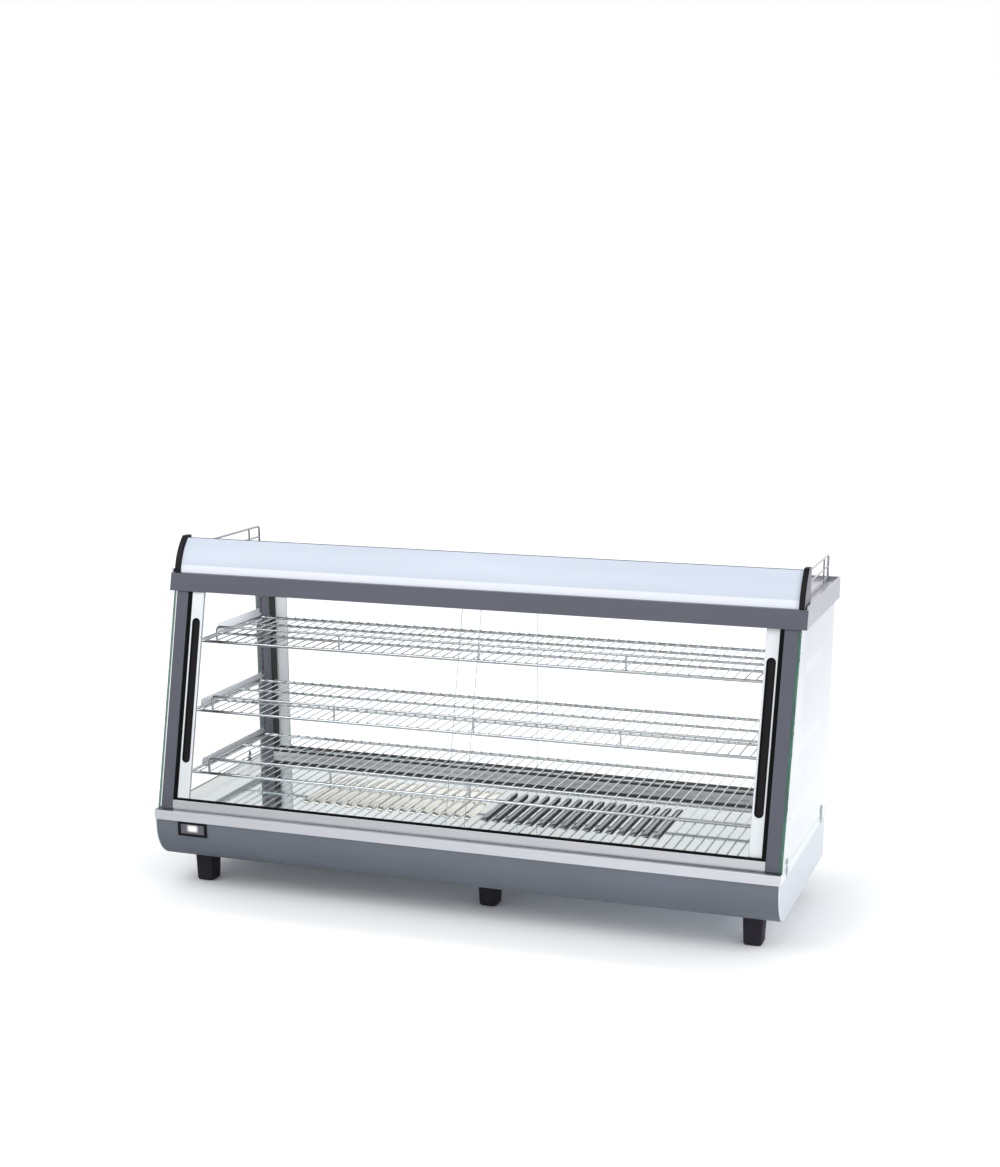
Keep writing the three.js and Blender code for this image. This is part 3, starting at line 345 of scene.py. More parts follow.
@dataclass(frozen=True)
class BrushedSteel(Finish):
    """Stainless sheet brushed with a belt: long streaks along the grain that blur reflections.

    The real grain is a tenth of a millimetre wide, too fine to show, so the streaks are drawn wider.
    """

    metallic: float = 1.0
    spot: Point = (160 * MM, 1.8 * MM, 1.8 * MM)
    detail: float = 4.0
    tones: Pair = (0.95, 1.05)
    smears: Pair = (0.18, 0.03)
    depth: float = 0.05 * MM
    strength: float = 0.25


@dataclass(frozen=True)
class BrightSteel(Finish):
    """Cold-rolled stainless sheet, bright annealed: a near mirror that waves slightly as thin sheet does.

    Wipe marks run across it. Painted shade darkens it toward the right by a share, over the reach given here.
    """

    metallic: float = 1.0
    spot: Point = (50 * MM, 12 * MM, 50 * MM)
    detail: float = 3.0
    tones: Pair = (0.96, 1.03)
    wave: Point = (0.3, 0.14, 0.2)
    wave_depth: float = 0.6 * MM
    wave_strength: float = 0.12
    painted_shade_to_right: float = 0.0
    reach: Pair = (-0.2, 0.1)

    def dress(self, tree: Tree, shader: Node) -> None:
        """Adds the slow waves and the painted shade toward the right.

        Args:
            tree: the material's node tree.
            shader: its Principled node.
        """
        super().dress(tree, shader)
        inputs = {"Height": streaks(tree, self.wave, 1.0), "Distance": self.wave_depth,
                  "Strength": self.wave_strength}
        tree.links.new(add_node(tree, "Bump", inputs).outputs["Normal"], shader.inputs["Normal"])
        # Painted shade: the tone is scaled down from left to right.
        if self.painted_shade_to_right:
            left = grade(tree, coordinate(tree, Axis.X), self.reach, (1.0, 1.0 - self.painted_shade_to_right))
            tone = shader.inputs["Base Color"].links[0].from_socket
            dull = add_node(tree, "VectorMath", {0: tone, "Scale": left}, operation="SCALE")
            tree.links.new(dull.outputs[0], shader.inputs["Base Color"])


@dataclass(frozen=True)
class PowderCoat(Finish):
    """Polyester powder baked on steel: satin, with a slow drift in tone and a fine orange peel.

    The peel is drawn a little coarse.
    """

    spot: Point = (0.22, 0.22, 0.09)
    tones: Pair = (0.93, 1.07)
    grain: Point | None = (1.6 * MM, 1.6 * MM, 1.6 * MM)
    depth: float = 0.06 * MM


@dataclass(frozen=True)
class PlatedWire(Finish):
    """Steel wire, nickel and chrome plated: bright, with spots of duller plating a few millimetres wide."""

    metallic: float = 1.0
    spot: Point = (6 * MM, 6 * MM, 6 * MM)
    tones: Pair = (0.88, 1.1)


@dataclass(frozen=True)
class AnodisedProfile(Finish):
    """Extruded aluminium, etched and clear anodised: matt silver with faint die lines up it."""

    metallic: float = 0.6
    spot: Point = (0.9 * MM, 0.9 * MM, 0.4)
    detail: float = 3.0
    tones: Pair = (0.95, 1.03)
    depth: float = 0.04 * MM


@dataclass(frozen=True)
class MouldedPlastic(Finish):
    """Injection-moulded plastic from a spark-eroded tool: a fine pebble that breaks up the gloss."""

    glare: float = 0.25
    spot: Point = (1.0 * MM, 1.0 * MM, 1.0 * MM)
    tones: Pair = (0.88, 1.14)
    depth: float = 0.08 * MM
    strength: float = 0.35


@dataclass(frozen=True)
class OxidisedTube(Finish):
    """Sheathed heating element after use: steel oxidised to a patchy brown and blue-grey."""

    metallic: float = 0.8
    spot: Point = (50 * MM, 20 * MM, 20 * MM)
    detail: float = 3.0
    heat_colour: str = "#5d4b3f"

    def ends(self) -> tuple[Colour, Colour]:
        """The tube's grey, and its heat colour."""
        return linear(self.colour), linear(self.heat_colour)


@dataclass(frozen=True)
class FloatGlass(Finish):
    """Float glass face: clear, and seen by what it mirrors, more so at a grazing angle."""

    roughness: Pair = (0.02, 0.02)
    metallic: float = 1.0
    haze: float = 0.004
    mirror: float = 1.0
    wiping: Point = (0.12, 0.3, 0.08)
    index: float = 1.52

    def dress(self, tree: Tree, shader: Node) -> None:
        """Opacity follows the Fresnel law on the face that is turned to the eye.

        That face mirrors for both, and carries a thin haze of wiping marks.

        Args:
            tree: the material's node tree.
            shader: its Principled node.
        """
        bounce = add_node(tree, "Fresnel", {"IOR": self.index}).outputs["Fac"]
        film = spread(tree, streaks(tree, self.wiping, 2.0), 0.0, self.haze)
        strength = maths(tree, "MULTIPLY_ADD", bounce, self.mirror, film)
        facing = maths(tree, "SUBTRACT", 1.0, add_node(tree, "NewGeometry").outputs["Backfacing"])
        tree.links.new(maths(tree, "MULTIPLY", strength, facing, clamp=True), shader.inputs["Alpha"])


@dataclass(frozen=True)
class GlassEdge(Finish):
    """Worked edge of float glass, seen along the pane: its depth of green drifts along the edge."""

    spot: Point = (30 * MM, 30 * MM, 50 * MM)
    tones: Pair = (0.75, 1.35)


@dataclass(frozen=True)
class OpalAcrylic(Finish):
    """Opal acrylic lit from behind: milky, glossy, with a faint glow, and brightest along its foot."""

    roughness: Pair = (0.3, 0.3)
    glare: float = 0.25
    tones: Pair = (0.97, 1.02)
    spot: Point = (0.3, 0.05, 0.05)
    detail: float = 1.0
    bright_colour: str = "#eef2f9"
    bright_top: float = 0.6096
    glow: float = 0.03

    def dress(self, tree: Tree, shader: Node) -> None:
        """Adds the bright foot, the cloud above it and the glow.

        Args:
            tree: the material's node tree.
            shader: its Principled node.
        """
        reach = (self.bright_top, self.bright_top + 2 * MM)
        above = grade(tree, coordinate(tree, Axis.Z), reach, (0.0, 1.0), SOFT_EDGE)
        cloud = spread(tree, streaks(tree, self.spot, self.detail), 0.0, 1.0)
        tone = blend(tree, above, linear(self.bright_colour), blend(tree, cloud, *self.ends()))
        tree.links.new(tone, shader.inputs["Base Color"])
        tree.links.new(tone, shader.inputs["Emission Color"])
        shader.inputs["Emission Strength"].default_value = self.glow


@dataclass(frozen=True)
class LitWindow(Finish):
    """Smoked window: grey-brown, with a bright soft-edged field of painted light that glows a little."""

    light_colour: str = "#ffffff"
    middle: Pair = (-0.5205, 0.1290)
    reach: Pair = (11 * MM, 6.5 * MM)
    glow: float = 0.15

    def dress(self, tree: Tree, shader: Node) -> None:
        """Adds the painted field of light: the product of a soft band along X and one along Z.

        Args:
            tree: the material's node tree.
            shader: its Principled node.
        """
        bands = []
        for axis, middle, reach in zip((Axis.X, Axis.Z), self.middle, self.reach):
            away = maths(tree, "ABSOLUTE", maths(tree, "SUBTRACT", coordinate(tree, axis), middle))
            bands.append(grade(tree, away, (0.45 * reach, 1.3 * reach), (1.0, 0.0), SOFT_EDGE))
        patch = maths(tree, "MULTIPLY", *bands)
        tone = blend(tree, patch, linear(self.colour), linear(self.light_colour))
        tree.links.new(tone, shader.inputs["Base Color"])
        tree.links.new(tone, shader.inputs["Emission Color"])
        shader.inputs["Emission Strength"].default_value = self.glow


STEEL = Slot.BRUSHED_STEEL
GRAIN_ALONG_Y = (1.8 * MM, 160 * MM, 1.8 * MM)
PEBBLE_OF_RUBBER = (1.5 * MM, 1.5 * MM, 1.5 * MM)

# Ceiling: even mid grey, with streaks along the case.
BRUSHED = BrushedSteel("stainless_steel_belt_brushed", STEEL, "#cfccce", (0.25, 0.35))
# Front track: a light satin band below the doors.
TRACK = BrushedSteel("stainless_steel_brushed_track", STEEL, "#d0d2d7", (0.29, 0.39))
# The tray's folded rim, ground matt: an even light band from end to end.
RIM = BrushedSteel("stainless_steel_ground_rim", STEEL, "#dadbe0", (0.35, 0.45), 0.25)
# The tray's own top, lighter than the loose sheets: it lies level and mirrors the bright room.
TRAY = BrushedSteel("stainless_steel_belt_brushed_tray", STEEL, "#ecf1f2", (0.25, 0.35))
# The strip of the tray in front of the track, shaded by it: a dark line between the two bands.
LEDGE = BrushedSteel("stainless_steel_brushed_in_the_track_s_shade", STEEL, "#96969b", (0.29, 0.39))
# Rear track: the same sheet, painted paler as painted light, and softer; it is seen through two panes.
REAR_TRACK = BrushedSteel("stainless_steel_brushed_rear_track", STEEL, "#dedbe0", (0.35, 0.45), 0.8)
# Cap cover: streaks from front to back that blur the room above.
CAP_SHEET = BrushedSteel("stainless_steel_brushed_cap", STEEL, "#c4c3cb", (0.27, 0.37), spot=GRAIN_ALONG_Y)
# Base sides and pan: a cool satin sheet that fades into the white surroundings.
BRUSHED_SIDE = BrushedSteel("stainless_steel_satin_rolled", Slot.BASE_STEEL, "#d8dee5", (0.29, 0.39),
                            spot=GRAIN_ALONG_Y)
# Shelf brackets: a pale milky skin with little mirror in it.
PLATED = BrushedSteel("steel_pressed_zinc_plated", STEEL, "#d9dce1", (0.30, 0.40), 0.35)
# Inside of the pan: painted shade, nearly black, so that the louvres' mouths read as dark slots.
PAN_PAINTED_SHADE = BrushedSteel("steel_sheet_painted_shade", Slot.BASE_STEEL, "#2a2b2e", (0.45, 0.55), 0.6)
# Deck plate: a clear mirror of shelves and posts, with painted shade that darkens its right half.
BRIGHT = BrightSteel("stainless_steel_bright_annealed", STEEL, "#e4ebec", (0.035, 0.075), painted_shade_to_right=0.3)
# Louvres: one pressed sheet in two tones: painted light, warm and bright, on the left, which faces the light,
# and painted shade, dark grey, on the right.
HOODS = {-1.0: BrightSteel("stainless_steel_pressed_painted_light", STEEL, "#ecebe4", (0.063, 0.135)),
         1.0: BrightSteel("stainless_steel_pressed_painted_shade", STEEL, "#8d8e93", (0.084, 0.18))}
# Posts, fascia and sign back: a violet-tinged dark grey with a soft sheen.
GREY_COAT = PowderCoat("steel_powder_coated_grey", Slot.GREY_PAINT, "#595b66", (0.46, 0.56))
# Base front: blue-grey, whose sheen follows the curve down to the shadow.
BASE_COAT = PowderCoat("steel_powder_coated_blue_grey", Slot.BASE_PAINT, "#6c737d", (0.46, 0.56))
# Outer sheet of the sign's ends: a lighter grey inside the black edge.
END_SHEET = PowderCoat("sign_end_sheet_satin_grey", Slot.BLACK_PLASTIC, "#83838c", (0.46, 0.56))
# Shelf wires: bright along the top, with dark rims where they mirror the dim upper room.
CHROME = PlatedWire("steel_wire_chrome_plated", Slot.CHROME, "#bcc1c4", (0.06, 0.17))
# Gallery rails: the same plating with painted shade, a little darker against the white background.
RAIL_CHROME = PlatedWire("steel_wire_chrome_plated_rail", Slot.CHROME, "#a3a6ac", (0.072, 0.204))
# Heating element: patches of brown on blue-grey.
TUBE = OxidisedTube("element_tube_oxidised", Slot.HEATER_STEEL, "#4a5058", (0.35, 0.65))
# Door stiles: matt silver-white with upright lines.
ANODISED = AnodisedProfile("aluminium_extruded_anodised", Slot.ALUMINIUM, "#f1f5f8", (0.33, 0.45))
# Handles, bezel, end caps, knob and switch: deep black with a weak soft gloss.
BLACK = MouldedPlastic("abs_moulded_black", Slot.BLACK_PLASTIC, "#131215", (0.39, 0.53), glare=0.2)
# Door seals: the darkest line of the picture, almost without gloss.
SEAL = MouldedPlastic("pvc_extruded_black", Slot.BLACK_PLASTIC, "#070708", (0.49, 0.63), glare=0.1)
# Feet: dull charcoal with a coarser pebble.
RUBBER = MouldedPlastic("rubber_moulded_black", Slot.BLACK_RUBBER, "#2b2830", (0.64, 0.78),
                        spot=PEBBLE_OF_RUBBER)
# Door panes: all but invisible, with a faint film of wiping.
GLASS = FloatGlass("glass_float_clear", Slot.CLEAR_GLASS, "#f4f8f8", haze=0.008)
# Outer face of the side glass: a pale veil of the room at its grazing angle.
SIDE_GLASS = FloatGlass("glass_float_outer_face", Slot.CLEAR_GLASS, "#eef1f7", haze=0.01, mirror=2.2)
# Inner faces of all panes: weak, so that a pane shows one reflection.
INNER_GLASS = FloatGlass("glass_float_inner_face", Slot.CLEAR_GLASS, "#f3f6fb", mirror=0.35)
# Edges of the side glass: the green line at each end of the case.
GREEN_EDGE = GlassEdge("glass_float_ground_edge", Slot.CLEAR_GLASS, "#2c6650", (0.15, 0.15), opacity=0.9)
# Edges of the doors' panes: thin grey lines against the white.
PALE_EDGE = GlassEdge("glass_float_polished_edge", Slot.CLEAR_GLASS, "#8fa19c", (0.1, 0.1), opacity=0.7)
# Sign panel: an even pale blue, with a white band along its foot.
OPAL = OpalAcrylic("acrylic_cast_opal", Slot.SIGN_ACRYLIC, "#d2dae6")
# Top edge and upper back of the sign panel: a thin dark grey line.
DARK_TOP_EDGE = MouldedPlastic("acrylic_dark_top_edge", Slot.SIGN_ACRYLIC, "#4c4f56", (0.54, 0.68), glare=0.2,
                           spot=(0.8 * MM, 0.8 * MM, 0.8 * MM))
# Lamp tube behind the sign: white, with its own light.
LAMP = OpalAcrylic("lamp_tube_opal", Slot.LAMP, "#f4f6fd", bright_colour="#f4f6fd", bright_top=0.79, glow=0.6)
# Thermometer window: grey-brown, with a painted bright field in its middle that glows a little.
WINDOW = LitWindow("acrylic_smoked_window", Slot.DISPLAY, "#626168", (0.12, 0.12))


# Shapes


@dataclass
class Skin:
    """Points and faces of one surface, or of several that lie together."""

    points: np.ndarray
    faces: Faces

    @staticmethod
    def together(skins: list["Skin"]) -> "Skin":
        """Puts several skins into one.

        Args:
            skins: the skins, in order.

        Returns:
            One skin that holds them all.
        """
        faces: Faces = []
        start = 0
        for skin in skins:
            faces += [tuple(index + start for index in face) for face in skin.faces]
            start += len(skin.points)
        return Skin(np.vstack([skin.points for skin in skins]), faces)


def quads(rows: int, columns: int, closed: bool) -> Faces:
    """Faces of a grid of rows and columns of points, whose columns may close to a ring.

    Args:
        rows: count of rows.
        columns: count of points in a row.
        closed: whether the last column joins the first.

    Returns:
        Faces of four point numbers each.
    """
    cells = columns if closed else columns - 1
    row, column = np.meshgrid(np.arange(rows - 1), np.arange(cells), indexing="ij")
    following = (column + 1) % columns
    corners = np.stack([row * columns + column, row * columns + following,
                        (row + 1) * columns + following, (row + 1) * columns + column], axis=-1)
    return [tuple(face) for face in corners.reshape(-1, 4).tolist()]


def lofted(rings: np.ndarray) -> Skin:
    """Closed skin over rings of points, with a flat face at each end.

    Args:
        rings: array of rings, points and coordinates.

    Returns:
        The skin: quads between neighbouring rings, and the first and last ring as faces.
    """
    count, sides = rings.shape[:2]
    faces = quads(count, sides, True)
    last = (count - 1) * sides
    faces.append(tuple(range(sides))[::-1])
    faces.append(tuple(range(last, last + sides)))
    return Skin(rings.reshape(-1, 3), faces)


def swept(path: np.ndarray, section: np.ndarray, normal: Point) -> Skin:
    """Carries a closed section along a path that lies in one plane.

    A point of the result is the path's point, plus the section's first value times the direction
    across the path, stretched at bends so that the width stays, plus its second value times the
    plane's normal.

    Args:
        path: points along the way.
        section: outline as pairs of widths across the path and along the normal.
        normal: unit normal of the path's plane.

    Returns:
        The closed skin.
    """
    steps = np.diff(path, axis=0)
    steps /= np.linalg.norm(steps, axis=1, keepdims=True)
    arriving = np.vstack([steps[:1], steps])
    leaving = np.vstack([steps, steps[-1:]])
    along = arriving + leaving
    along /= np.linalg.norm(along, axis=1, keepdims=True)
    stretch = 1.0 / np.sum(along * arriving, axis=1, keepdims=True)
    across = np.cross(np.array(normal), along) * stretch
    rings = (path[:, None, :] + section[None, :, :1] * across[:, None, :]
             + section[None, :, 1:] * np.array(normal)[None, None, :])
    return lofted(rings)


def circle(radius: float, sides: int) -> np.ndarray:
    """Points of a circle about zero.

    Args:
        radius: its radius.
        sides: count of points.

    Returns:
        Pairs of the radius times cosine and sine of equal turns.
    """
    turn = 2.0 * np.pi * (np.arange(sides) + 0.5) / sides
    return radius * np.stack([np.cos(turn), np.sin(turn)], axis=1)


def rounded_path(corners: list[Point], radius: float, steps: int = 6) -> np.ndarray:
    """Rounds the bends of a path of straight runs.

    Each bend is a quadratic curve that leaves the incoming run one radius before the corner and
    meets the next one radius after it.

    Args:
        corners: points where the straight runs meet, and both ends.
        radius: distance from a corner to where its bend starts.
        steps: count of steps in a bend.

    Returns:
        The path's points.
    """
    points = np.array(corners, float)
    share = np.linspace(0.0, 1.0, steps + 1)[:, None]
    parts = [points[:1]]
    for before, corner, after in zip(points[:-2], points[1:-1], points[2:]):
        start = corner + radius * (before - corner) / np.linalg.norm(before - corner)
        end = corner + radius * (after - corner) / np.linalg.norm(after - corner)
        parts.append((1 - share) ** 2 * start + 2 * share * (1 - share) * corner + share ** 2 * end)
    parts.append(points[-1:])
    return np.vstack(parts)


def arc(middle: Pair, radii: Pair, start: float, end: float, steps: int) -> np.ndarray:
    """Points of an elliptic arc: the middle plus the radii times cosine and sine of the turn.

    Args:
        middle: middle of the ellipse.
        radii: its two half axes.
        start: first turn in degrees.
        end: last turn in degrees.
        steps: count of steps.

    Returns:
        Pairs of coordinates.
    """
    turn = np.radians(np.linspace(start, end, steps + 1))
    return np.stack([middle[0] + radii[0] * np.cos(turn), middle[1] + radii[1] * np.sin(turn)], axis=1)


def prism(outline: np.ndarray, start: float, end: float) -> Skin:
    """Outline of Y and Z pairs, carried along X.

    Args:
        outline: the pairs, in order round the section.
        start: first X.
        end: last X.

    Returns:
        The closed skin.
    """
    ends = np.array([start, end])
    rings = np.concatenate([np.broadcast_to(ends[:, None, None], (2, len(outline), 1)),
                            np.broadcast_to(outline, (2, *outline.shape))], axis=2)
    return lofted(rings)


def straight_wire(start: Point, end: Point, width: float, normal: Point, sides: int = 10) -> Skin:
    """Round bar from one point to another.

    Args:
        start: first end's middle.
        end: last end's middle.
        width: the bar's width.
        normal: unit direction square to the bar.
        sides: count of faces round it.

    Returns:
        The closed skin.
    """
    return swept(np.array([start, end], float), circle(width / 2, sides), normal)


def show(name: str, skin: Skin, finish: Finish, body: str, smooth: bool = True) -> Piece:
    """Makes an object from a skin, with its faces turned outwards.

    Args:
        name: the object's name.
        skin: its points and faces.
        finish: its surface.
        body: body that it rides on.
        smooth: whether its shading is smooth across gentle edges.

    Returns:
        The object.
    """
    mesh = bpy.data.meshes.new(name)
    mesh.from_pydata(skin.points.tolist(), [], skin.faces)
    work = bmesh.new()
    work.from_mesh(mesh)
    bmesh.ops.recalc_face_normals(work, faces=work.faces)
    work.to_mesh(mesh)
    work.free()
    if smooth:
        mesh.shade_smooth()
        mesh.set_sharp_from_angle(angle=GENTLE)
    return place(bpy.data.objects.new(name, mesh), finish, body)


def place(piece: Piece, finish: Finish, body: str) -> Piece:
    """Puts a piece in the scene, on its body, in its finish.

    Args:
        piece: the object.
        finish: its surface.
        body: body that it rides on.

    Returns:
        The same object.
    """
    bpy.context.scene.collection.objects.link(piece)
    piece.data.materials.clear()
    piece.data.materials.append(finish.material())
    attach(piece, body)
    LOG.info("%s: %s, on %s", piece.name, finish.name, body)
    return piece


def eased(piece: Piece, width: float, segments: int = 2) -> Piece:
    """Rounds a piece's sharp edges, as folding, machining or moulding leaves them.

    The large faces keep their own normal, so that they mirror as flat sheet does.

    Args:
        piece: the object.
        width: width of the rounding.
        segments: faces across it.

    Returns:
        The same object.
    """
    bevel = piece.modifiers.new("eased_edges", "BEVEL")
    bevel.width = width
    bevel.segments = segments
    bevel.limit_method = "ANGLE"
    bevel.angle_limit = SHARP
    shading = piece.modifiers.new("even_shading", "WEIGHTED_NORMAL")
    shading.weight = LARGE_FACES_LEAD
    shading.keep_sharp = True
    return piece


def eased_copy(node: str, finish: Finish, body: str, width: float, segments: int = 2) -> Piece:
    """Copies a piece of the part, merges its corners and flat faces, and eases its edges.

    Args:
        node: name of the part's piece, which the copy replaces.
        finish: the copy's surface.
        body: body that it rides on.
        width: width of the rounding.
        segments: faces across it.

    Returns:
        The copy.
    """
    work = bmesh.new()
    work.from_mesh(FRAME["nodes"][node].data)
    bmesh.ops.remove_doubles(work, verts=work.verts, dist=SAME_CORNER)
    bmesh.ops.dissolve_limit(work, angle_limit=FLAT, verts=work.verts, edges=work.edges)
    mesh = bpy.data.meshes.new(f"{node}_skin")
    work.to_mesh(mesh)
    work.free()
    mesh.shade_smooth()
    piece = place(bpy.data.objects.new(f"{node}_skin", mesh), finish, body)
    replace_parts(piece, node)
    return eased(piece, width, segments)


def paint(piece: Piece, finishes: list[Finish], choose: Callable[[bpy.types.MeshPolygon], int]) -> None:
    """Gives a piece further finishes, and each of its faces one of them.

    Args:
        piece: the object, which has its first finish.
        finishes: the further ones.
        choose: gives the number of a face's finish, zero for the first.
    """
    for finish in finishes:
        piece.data.materials.append(finish.material())
    for face in piece.data.polygons:
        face.material_index = choose(face)


def walled(piece: Piece, thickness: float) -> None:
    """Adds the sheet's wall behind a piece that holds its outer face alone.

    Args:
        piece: the object.
        thickness: thickness of the sheet.
    """
    wall = piece.modifiers.new("sheet", "SOLIDIFY")
    wall.thickness = thickness
    wall.offset = -1.0


def glass_pane(node: str, body: str, outward: Point, outer: FloatGlass, edge: GlassEdge) -> None:
    """Copies a pane and gives its outer face, its inner face and its worked edges their looks.

    Args:
        node: name of the part's pane.
        body: body that it rides on.
        outward: unit direction through the pane, out of the case.
        outer: surface of the outer face.
        edge: surface of the narrow faces.
    """

    def side(face: bpy.types.MeshPolygon) -> int:
        """Zero outside, one inside, two on an edge."""
        turned = face.normal.dot(outward)
        return 0 if turned > FACING else 1 if turned < -FACING else 2

    paint(eased_copy(node, outer, body, 0.6 * MM, 1), [INNER_GLASS, edge], side)


def dress_node(node: str, finish: Finish) -> None:
    """Gives a piece of the part a better surface and leaves its shape.

    Args:
        node: the piece's name.
        finish: its surface.
    """
    for slot in FRAME["nodes"][node].material_slots:
        slot.material = finish.material()
    LOG.info("%s: %s, shape of the part", node, finish.name)


# Sub-assemblies


@dataclass
class Base:
    """Painted curved front, stainless sides, folded tray, pan and feet."""

    panel_front: float = -0.2235
    curve_depth: float = 60 * MM
    curve_height: float = 67 * MM
    clearance: float = 60 * MM
    panel_top: float = 0.1585
    half_length: float = 0.5962
    flange: float = 10 * MM
    sheet: float = 1.2 * MM
    window_inset: float = 2.6 * MM
    held_row: float = 0.4 * MM
    rim_depth: float = 0.1 * MM
    foot_half: Pair = (19 * MM, 20.5 * MM)
    foot_taper: float = 2 * MM
    foot_round: float = 5 * MM
    foot_points: int = 48
    foot_power: float = 2.0 / 7.0

    def build(self) -> None:
        """Builds every piece of the base."""
        self.front_panel()
        for side in SIDES:
            eased_copy(f"base_side_plate_{side}", BRUSHED_SIDE, "case", 0.5 * MM)
            for end in ("front", "rear"):
                self.foot(f"foot_{end}_{side}")
        self.foot("foot_middle")
        self.tray()
        self.pan()

    def tray(self) -> None:
        """Folded tray with a lighter rim, and a shaded strip between the rim and the front track."""
        tray = eased_copy("top_tray", TRAY, "case", 0.7 * MM, 3)
        low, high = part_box("top_tray")
        track = float(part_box("front_track")[0].y)
        work = bmesh.new()
        work.from_mesh(tray.data)
        geometry = [*work.verts, *work.edges, *work.faces]
        bmesh.ops.bisect_plane(work, geom=geometry, plane_co=(0.0, track, 0.0), plane_no=(0.0, 1.0, 0.0))
        work.to_mesh(tray.data)
        work.free()

        def band(face: bpy.types.MeshPolygon) -> int:
            """One on the rim's outer faces, two on the strip before the track, zero elsewhere."""
            outer = max(abs(face.center.x) - high.x, abs(face.center.y) - high.y) > -self.rim_depth
            return 1 if outer else 2 * int(face.normal.z > FACING and low.y < face.center.y < track)

        paint(tray, [RIM, LEDGE], band)

    def pan(self) -> None:
        """Folded pan and rear wall, with painted shade, nearly black, on the sheet's inner faces and on its
        end faces.
        """
        pan = eased_copy("base_chassis", BRUSHED_SIDE, "case", 0.3 * MM, 1)
        low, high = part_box("base_chassis")
        middle = (low + high) / 2
        paint(pan, [PAN_PAINTED_SHADE], lambda face: int(face.normal.dot(middle - face.center) > 0
                                                  or abs(face.normal.x) > FACING))

    def front_panel(self) -> None:
        """Sheet that follows a quarter ellipse from the upright front to the underside.

        The surface is the profile times X. The cells behind the thermometer are left out, rows
        close to each edge keep its rounding narrow, and the wall is added.
        """
        low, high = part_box("thermometer_bezel")
        inset, hold = self.window_inset, self.held_row
        middle = (self.panel_front + self.curve_depth, self.clearance + self.curve_height)
        radii = (self.curve_depth, self.curve_height)
        turns = [180.0 + math.degrees(math.asin((middle[1] - z) / self.curve_height))
                 for z in (low.z + inset, low.z + inset - hold)]
        upright = np.array([[self.panel_front, z] for z in
                            (self.panel_top, self.panel_top - hold, high.z - inset + hold, high.z - inset)])
        end = middle[0] + self.flange
        flat = np.array([[end - hold, self.clearance], [end, self.clearance]])
        profile = np.vstack([upright, arc(middle, radii, 180, turns[0], 3),
                             arc(middle, radii, turns[1], 270, 26), flat])
        half, left, right = self.half_length, low.x + inset, high.x - inset
        stops = np.array([-half, hold - half, left - hold, left, right, right + hold, half - hold, half])
        shape = (len(profile), len(stops))
        grid = np.concatenate([np.broadcast_to(stops[None, :, None], (*shape, 1)),
                               np.broadcast_to(profile[:, None, :], (*shape, 2))], axis=2)
        cells = len(stops) - 1
        faces = [face for number, face in enumerate(quads(*shape, False))
                 if not (3 <= number // cells < 7 and number % cells == 3)]
        panel = show("base_front_panel_skin", Skin(grid.reshape(-1, 3), faces), BASE_COAT, "case")
        walled(panel, self.sheet)
        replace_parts(panel, "base_front_panel")

    def foot(self, node: str) -> None:
        """Moulded block: rings of a rounded square that taper to the sole, whose edge is round.

        A ring's point lies at the half size times the signed power of cosine and sine.

        Args:
            node: the foot's name.
        """
        low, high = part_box(node)
        middle = ((low.x + high.x) / 2, (low.y + high.y) / 2)
        turn = 2 * np.pi * np.arange(self.foot_points) / self.foot_points
        way = np.stack([np.cos(turn), np.sin(turn)], axis=1)
        unit = np.sign(way) * np.abs(way) ** self.foot_power
        sole = arc((0.0, self.foot_round), (self.foot_round, self.foot_round), 270, 360, 6)
        inset = np.concatenate([self.foot_taper + self.foot_round - sole[:, 0], [0.0]])
        height = np.concatenate([sole[:, 1], [float(high.z)]])
        half = np.array(self.foot_half)[None, :] - inset[:, None]
        level = np.broadcast_to(height[:, None, None], (len(height), self.foot_points, 1))
        rings = np.concatenate([unit[None] * half[:, None] + np.array(middle), level], axis=2)
        piece = show(f"{node}_skin", lofted(rings), RUBBER, "case")
        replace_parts(piece, node)


